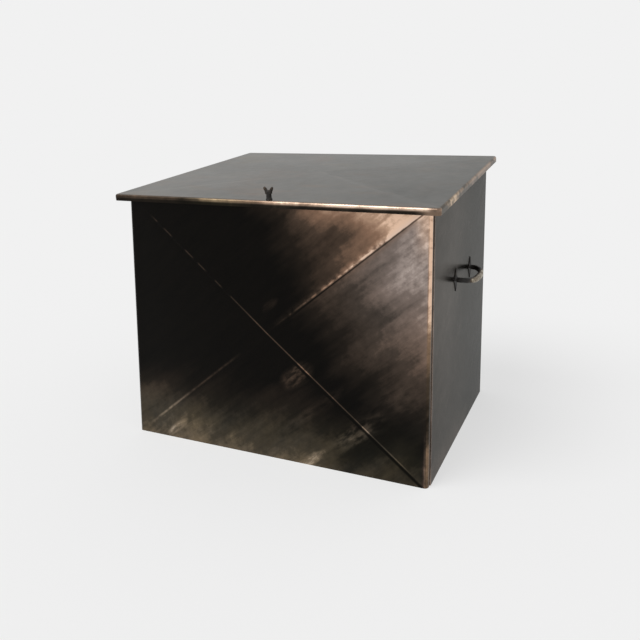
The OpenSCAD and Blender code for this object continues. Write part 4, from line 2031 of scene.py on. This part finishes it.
    def rosette(self, foot: Foot) -> bpy.types.Object:
        """A four-pointed rosette with hollow sides, hammered up to a flat round its tenon.

        Args:
            foot: The foot that it holds.

        Returns:
            The piece.
        """
        bore = self.tenon_r + self.bore_gap
        flat = self.foot_r + self.collar
        middle = Vector((0.0, self.feet[foot.value], self.height))
        skin = Skin()
        rows: list[list[int]] = []
        for k in range(self.rings + 1):
            row = []
            for j in range(self.around):
                rim = self.outline(2 * math.pi * j / self.around)
                reach = rim.length
                place = (rim * (bore / reach)).lerp(rim, k / self.rings)
                rise = max(0.0, min(1.0, (reach - place.length) / (reach - flat)))
                height = self.edge_t + (self.rosette_t - self.edge_t) * rise ** self.slope
                at = middle + Vector((self.face_x + height, place.x, place.y))
                worn = min(1.0, 3 * rise) * (1.0 - rise)
                dent = hammered(at, self.dents, self.dent_grain) * worn
                row.append(skin.point(self.handed((at.x + dent, at.y, at.z))))
            rows.append(row)
        flat_side = [[skin.point(self.handed((self.face_x, *skin.points[i][1:]))) for i in row]
                     for row in (rows[-1], rows[0])]
        skin.rows(rows + flat_side + [rows[0]], closed=True)
        return skin.solid(f"{self.hand.word}_{foot.name.lower()}_forged_rosette")

    def build(self) -> None:
        """Builds the bow and both rosettes, and dresses the washers."""
        word = self.hand.word
        seated(self.bow(), Body.BOX, Slot.IRON, f"{word}_handle_bow", self.iron)
        for foot in Foot:
            seated(self.rosette(foot), Body.BOX, Slot.IRON, self.rosette_node(foot), self.iron)
        carried_over(f"{word}_handle_washers", SMALL_EASE, self.steel)


@dataclass
class Knob:
    """The lid's knob: a turned foot and a forged stem split into two horns.

    Attributes:
        lid: The lid that it stands on.
        iron: The finish of the knob.
        steel: The finish of its screw and washer.
        across: How far right of the lid's middle it stands.
        set_back: How far behind the lid's front edge it stands.
        height: Its height.
        foot_r: The radius of its foot.
        foot_h: The height of its foot.
        stem_r: The radius of its stem.
        waist: How much thinner and thicker the stem is over its foot.
        split: The height at which the horns grow out of the stem.
        crotch: The height of the stem's top between them.
        root: How far out from the middle a horn starts.
        root_wide: A horn's radius across at its root.
        root_deep: Its radius from front to back there.
        spread: How far apart the horns' tips are.
        tip_wide: A horn's radius across at its tip.
        tip_deep: Its radius from front to back there.
        bow: How much a horn bends outwards over its length.
        lean: A horn's lean at its tip.
        blunt: How much of its thickness a horn loses at its very tip.
        squareness: How square a horn's section is.
        grain: How finely the melted pieces are drawn.
        marks: The depth of its hammer marks.
        mark_grain: Their number per metre.
        clean: The height from which the marks are full.
        turned_sides: Points round the stem.
        horn_sides: Points round a horn.
        horn_steps: Stations along a horn.
    """

    lid: Lid
    iron: bpy.types.Material
    steel: bpy.types.Material
    across: float = 10.0 * MM
    set_back: float = 9.0 * MM
    height: float = 19.5 * MM
    foot_r: float = 4.8 * MM
    foot_h: float = 1.0 * MM
    stem_r: float = 3.9 * MM
    waist: float = 0.2 * MM
    split: float = 8.5 * MM
    crotch: float = 14.0 * MM
    root: float = 2.3 * MM
    root_wide: float = 2.5 * MM
    root_deep: float = 3.5 * MM
    spread: float = 14.0 * MM
    tip_wide: float = 1.8 * MM
    tip_deep: float = 2.2 * MM
    bow: float = 1.6
    lean: float = math.radians(48)
    blunt: float = 0.35
    squareness: float = 2.5
    grain: float = 0.32 * MM
    marks: float = 0.16 * MM
    mark_grain: float = 420.0
    clean: float = 3.0 * MM
    turned_sides: int = 32
    horn_sides: int = 24
    horn_steps: int = 24

    def lathe(self) -> bpy.types.Object:
        """The foot and the stem, turned round the knob's middle line.

        Returns:
            The turned part.
        """
        stem, crotch = self.stem_r, self.crotch
        profile = [(0.0, 0.0), (self.foot_r, 0.0), (self.foot_r, self.foot_h),
                   (stem + self.waist, 2.0 * MM), (stem - self.waist, 5.0 * MM),
                   (stem, self.split), (stem, crotch - 2.5 * MM),
                   (stem - 1.0 * MM, crotch - 0.5 * MM), (2.0 * MM, crotch), (0.0, crotch)]
        side, top = Vector((1, 0, 0)), Vector((0, 1, 0))
        rings = [Bar(Vector((0, 0, z)), side, top, r).ring(self.turned_sides) for r, z in profile]
        skin = Skin()
        skin.rows([[skin.point(p) for p in ring] for ring in rings], closed=True)
        return skin.solid("knob_stem")

    def horn_bar(self, share: float) -> Bar:
        """A station along the right horn.

        Args:
            share: The place along it, from 0 at its root to 1 at its tip.

        Returns:
            The station, for a section of 1 mm radius.
        """
        x = self.root + (self.spread / 2 - self.root) * share ** self.bow
        top = self.height - self.tip_wide * math.sin(self.lean)
        z = self.split + (top - self.split) * share
        lean = self.lean * share
        left = 1.0 - self.blunt * max(0.0, share - 0.9) * 10
        wide = (self.root_wide + (self.tip_wide - self.root_wide) * share) * left
        deep = (self.root_deep + (self.tip_deep - self.root_deep) * share) * left
        side = Vector((math.cos(lean), 0, -math.sin(lean))) * (wide / MM)
        return Bar(Vector((x, 0, z)), side, Vector((0, deep / MM, 0)), 1.0 * MM, self.squareness)

    def horn(self, hand: Hand) -> bpy.types.Object:
        """One of the two horns, bending outwards to a blunt tip.

        Args:
            hand: The side that it bends to.

        Returns:
            The horn.
        """
        sides, steps = self.horn_sides, self.horn_steps
        bars = [self.horn_bar(k / steps) for k in range(steps + 1)]
        rings = [[(hand.value * x, y, z) for x, y, z in bar.ring(sides)] for bar in bars]
        ends = [tuple(sum(p[i] for p in ring) / len(ring) for i in range(3))
                for ring in (rings[0], rings[-1])]
        closed = [[ends[0]] * sides] + rings + [[ends[1]] * sides]
        skin = Skin()
        skin.rows([[skin.point(p) for p in ring] for ring in closed], closed=True)
        return skin.solid(f"knob_{hand.word}_horn")

    def forged(self) -> bpy.types.Object:
        """The stem and the horns melted into one and hammered.

        Returns:
            The knob, standing upright at the origin.
        """
        build = bmesh.new()
        for part in (self.lathe(), self.horn(Hand.LEFT), self.horn(Hand.RIGHT)):
            build.from_mesh(part.data)
            bpy.data.objects.remove(part)
        mesh = bpy.data.meshes.new("forged_knob")
        build.to_mesh(mesh)
        build.free()
        knob = linked("forged_knob", mesh)
        melt = knob.modifiers.new("melt", "REMESH")
        melt.mode = "VOXEL"
        melt.voxel_size = self.grain
        ease = knob.modifiers.new("ease", "SMOOTH")
        ease.factor = 0.5
        ease.iterations = 5
        settled(knob)
        for vertex in knob.data.vertices:
            above = min(1.0, max(0.0, vertex.co.z / self.clean))
            marks = hammered(vertex.co, self.marks * above, self.mark_grain)
            vertex.co += vertex.normal * marks
            vertex.co.z = max(0.0, vertex.co.z)
        return knob

    def build(self) -> None:
        """Builds the knob on the lid, and dresses its screw and washer."""
        knob = self.forged()
        lid = self.lid
        base = Vector(lid.out(self.across, self.set_back - lid.front_over, lid.sheet))
        knob.data.transform(Matrix.Translation(base) @ Matrix.Rotation(lid.tilt, 4, "X"))
        knob.data.shade_smooth()
        seated(knob, Body.LID, Slot.IRON, "lid_knob", self.iron)
        for small in ("knob_screw", "knob_washer"):
            carried_over(small, SMALL_EASE, self.steel)


@dataclass(frozen=True)
class Hinges:
    """The two riveted hinges, shown as the CAD nodes that they are.

    Attributes:
        iron: The finish of the leaves.
        steel: The finish of the pins and rivets.
    """

    iron: bpy.types.Material
    steel: bpy.types.Material

    def leaves(self, hand: Hand) -> None:
        """Dresses one hinge's two leaves."""
        for leaf in ("back_leaf", "lid_leaf"):
            carried_over(f"{hand.word}_hinge_{leaf}", LEAF_EASE, self.iron)

    def pin(self, hand: Hand) -> None:
        """Dresses one hinge's pin."""
        carried_over(f"{hand.word}_hinge_pin", SMALL_EASE, self.steel)

    def build(self) -> None:
        """Dresses both hinges and their rivets."""
        for hand in Hand:
            self.leaves(hand)
            self.pin(hand)
        carried_over("hinge_rivets", SMALL_EASE, self.steel)


# Studio ------------------------------------------------------------------


@dataclass(frozen=True)
class Studio:
    """The pale room: its floor, world, lamp and camera.

    Attributes:
        backdrop: How bright the backdrop is.
        floor_paint: How pale the floor's paint is.
        ambient: The strength of the even light.
        key: The strength of the key light.
        key_tilt: How far from straight down it shines.
        key_turn: How far to the side it stands.
        softness: How wide it is.
        eye: The camera's place.
        yaw: How far it is turned.
        pitch: How far it is tipped down.
        sensor: The width of its film in mm.
        lens: Its focal length in mm.
        shift: How far its view is moved, across and up.
        near: The nearest that it sees.
        far: How far the floor reaches.
    """

    backdrop: float = 0.8796
    floor_paint: float = 0.36
    ambient: float = 0.52
    key: float = 1.3
    key_tilt: float = math.radians(38)
    key_turn: float = math.radians(-35)
    softness: float = math.radians(40)
    eye: Point = (0.46637, -1.01500, 0.49372)
    yaw: float = 0.380345
    pitch: float = 0.140877
    sensor: float = 36.0
    lens: float = 36.43
    shift: tuple[float, float] = (-0.05283, -0.14900)
    near: float = 0.01
    far: float = 30.0

    def camera(self) -> None:
        """Sets the camera at the photograph's place and angle."""
        data = bpy.data.cameras.new("camera")
        data.sensor_width = self.sensor
        data.lens = self.lens
        data.shift_x, data.shift_y = self.shift
        data.clip_start = self.near
        camera = bpy.data.objects.new("camera", data)
        bpy.context.scene.collection.objects.link(camera)
        camera.location = self.eye
        camera.rotation_euler = (math.pi / 2 - self.pitch, 0.0, self.yaw)
        bpy.context.scene.camera = camera

    def seen(self, tree: bpy.types.NodeTree) -> bpy.types.NodeSocket:
        """Tells what is looked at from light on the object.

        Args:
            tree: The world's nodes.

        Returns:
            1 for what the camera, a gloss or glass looks at, and 0 for light on the object.
        """
        path = tree.nodes.new("ShaderNodeLightPath")
        first = tree.nodes.new("ShaderNodeMath")
        second = tree.nodes.new("ShaderNodeMath")
        first.operation = second.operation = "MAXIMUM"
        tree.links.new(path.outputs["Is Camera Ray"], first.inputs[0])
        tree.links.new(path.outputs["Is Glossy Ray"], first.inputs[1])
        tree.links.new(first.outputs[0], second.inputs[0])
        tree.links.new(path.outputs["Is Transmission Ray"], second.inputs[1])
        return second.outputs[0]

    def world(self) -> None:
        """A pale backdrop, with even light on the object."""
        world = bpy.data.worlds.new("studio")
        world.use_nodes = True
        tree = world.node_tree
        tree.nodes.clear()
        light, shown = (tree.nodes.new("ShaderNodeBackground") for _ in range(2))
        light.inputs["Strength"].default_value = self.ambient
        light.inputs["Color"].default_value = (1.0, 1.0, 1.0, 1.0)
        shown.inputs["Color"].default_value = (*[self.backdrop] * 3, 1.0)
        mix = tree.nodes.new("ShaderNodeMixShader")
        output = tree.nodes.new("ShaderNodeOutputWorld")
        tree.links.new(self.seen(tree), mix.inputs[0])
        tree.links.new(light.outputs[0], mix.inputs[1])
        tree.links.new(shown.outputs[0], mix.inputs[2])
        tree.links.new(mix.outputs[0], output.inputs["Surface"])
        bpy.context.scene.world = world

    def level(self) -> float:
        """How bright white paint on the floor would be."""
        return self.ambient + self.key * math.cos(self.key_tilt) / math.pi

    def floor(self) -> None:
        """A wide pale floor that melts into the backdrop and keeps the object's shadow."""
        mesh = bpy.data.meshes.new("floor")
        far = self.far
        corners = [(-far, -far, 0), (far, -far, 0), (far, far, 0), (-far, far, 0)]
        mesh.from_pydata(corners, [], [(0, 1, 2, 3)])
        floor = linked("floor", mesh)
        material = bpy.data.materials.new("studio_floor")
        material.use_nodes = True
        tree = material.node_tree
        tree.nodes.clear()
        paint = tree.nodes.new("ShaderNodeBsdfDiffuse")
        paint.inputs["Color"].default_value = (*[self.floor_paint] * 3, 1.0)
        missing = self.backdrop - self.floor_paint * self.level()
        glow = tree.nodes.new("ShaderNodeEmission")
        glow.inputs["Strength"].default_value = 1.0
        glow.inputs["Color"].default_value = (*[missing] * 3, 1.0)
        both = tree.nodes.new("ShaderNodeAddShader")
        output = tree.nodes.new("ShaderNodeOutputMaterial")
        tree.links.new(paint.outputs[0], both.inputs[0])
        tree.links.new(glow.outputs[0], both.inputs[1])
        tree.links.new(both.outputs[0], output.inputs["Surface"])
        dressed(floor, material)

    def lamp(self) -> None:
        """A soft key light from high on the left of the camera."""
        data = bpy.data.lights.new("key", "SUN")
        data.energy = self.key
        data.angle = self.softness
        key = bpy.data.objects.new("key", data)
        key.rotation_euler = (self.key_tilt, 0.0, self.key_turn)
        bpy.context.scene.collection.objects.link(key)

    def build(self) -> None:
        """Sets up the whole studio."""
        self.camera()
        self.world()
        self.floor()
        self.lamp()
        bpy.context.scene.view_settings.view_transform = "Standard"


def main() -> None:
    """Builds the studio and every sub-assembly."""
    logging.basicConfig(level=logging.INFO, format="%(name)s: %(message)s")
    Studio().build()
    inside = BareInside().made()
    tilt = lid_tilt()
    Walls(tilt, inside).build()
    lid = Lid(tilt)
    lid.build(inside)
    grip_depth = 11.0 * MM
    bow_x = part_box("right_handle_bow")[1].x
    iron, steel = ForgedIron(grip_from=bow_x - grip_depth).made(), DullSteel().made()
    Knob(lid, iron, steel).build()
    for hand in Hand:
        SideHandle(hand, iron, steel).build()
    Hinges(iron, steel).build()


if __name__ == "__main__":
    main()
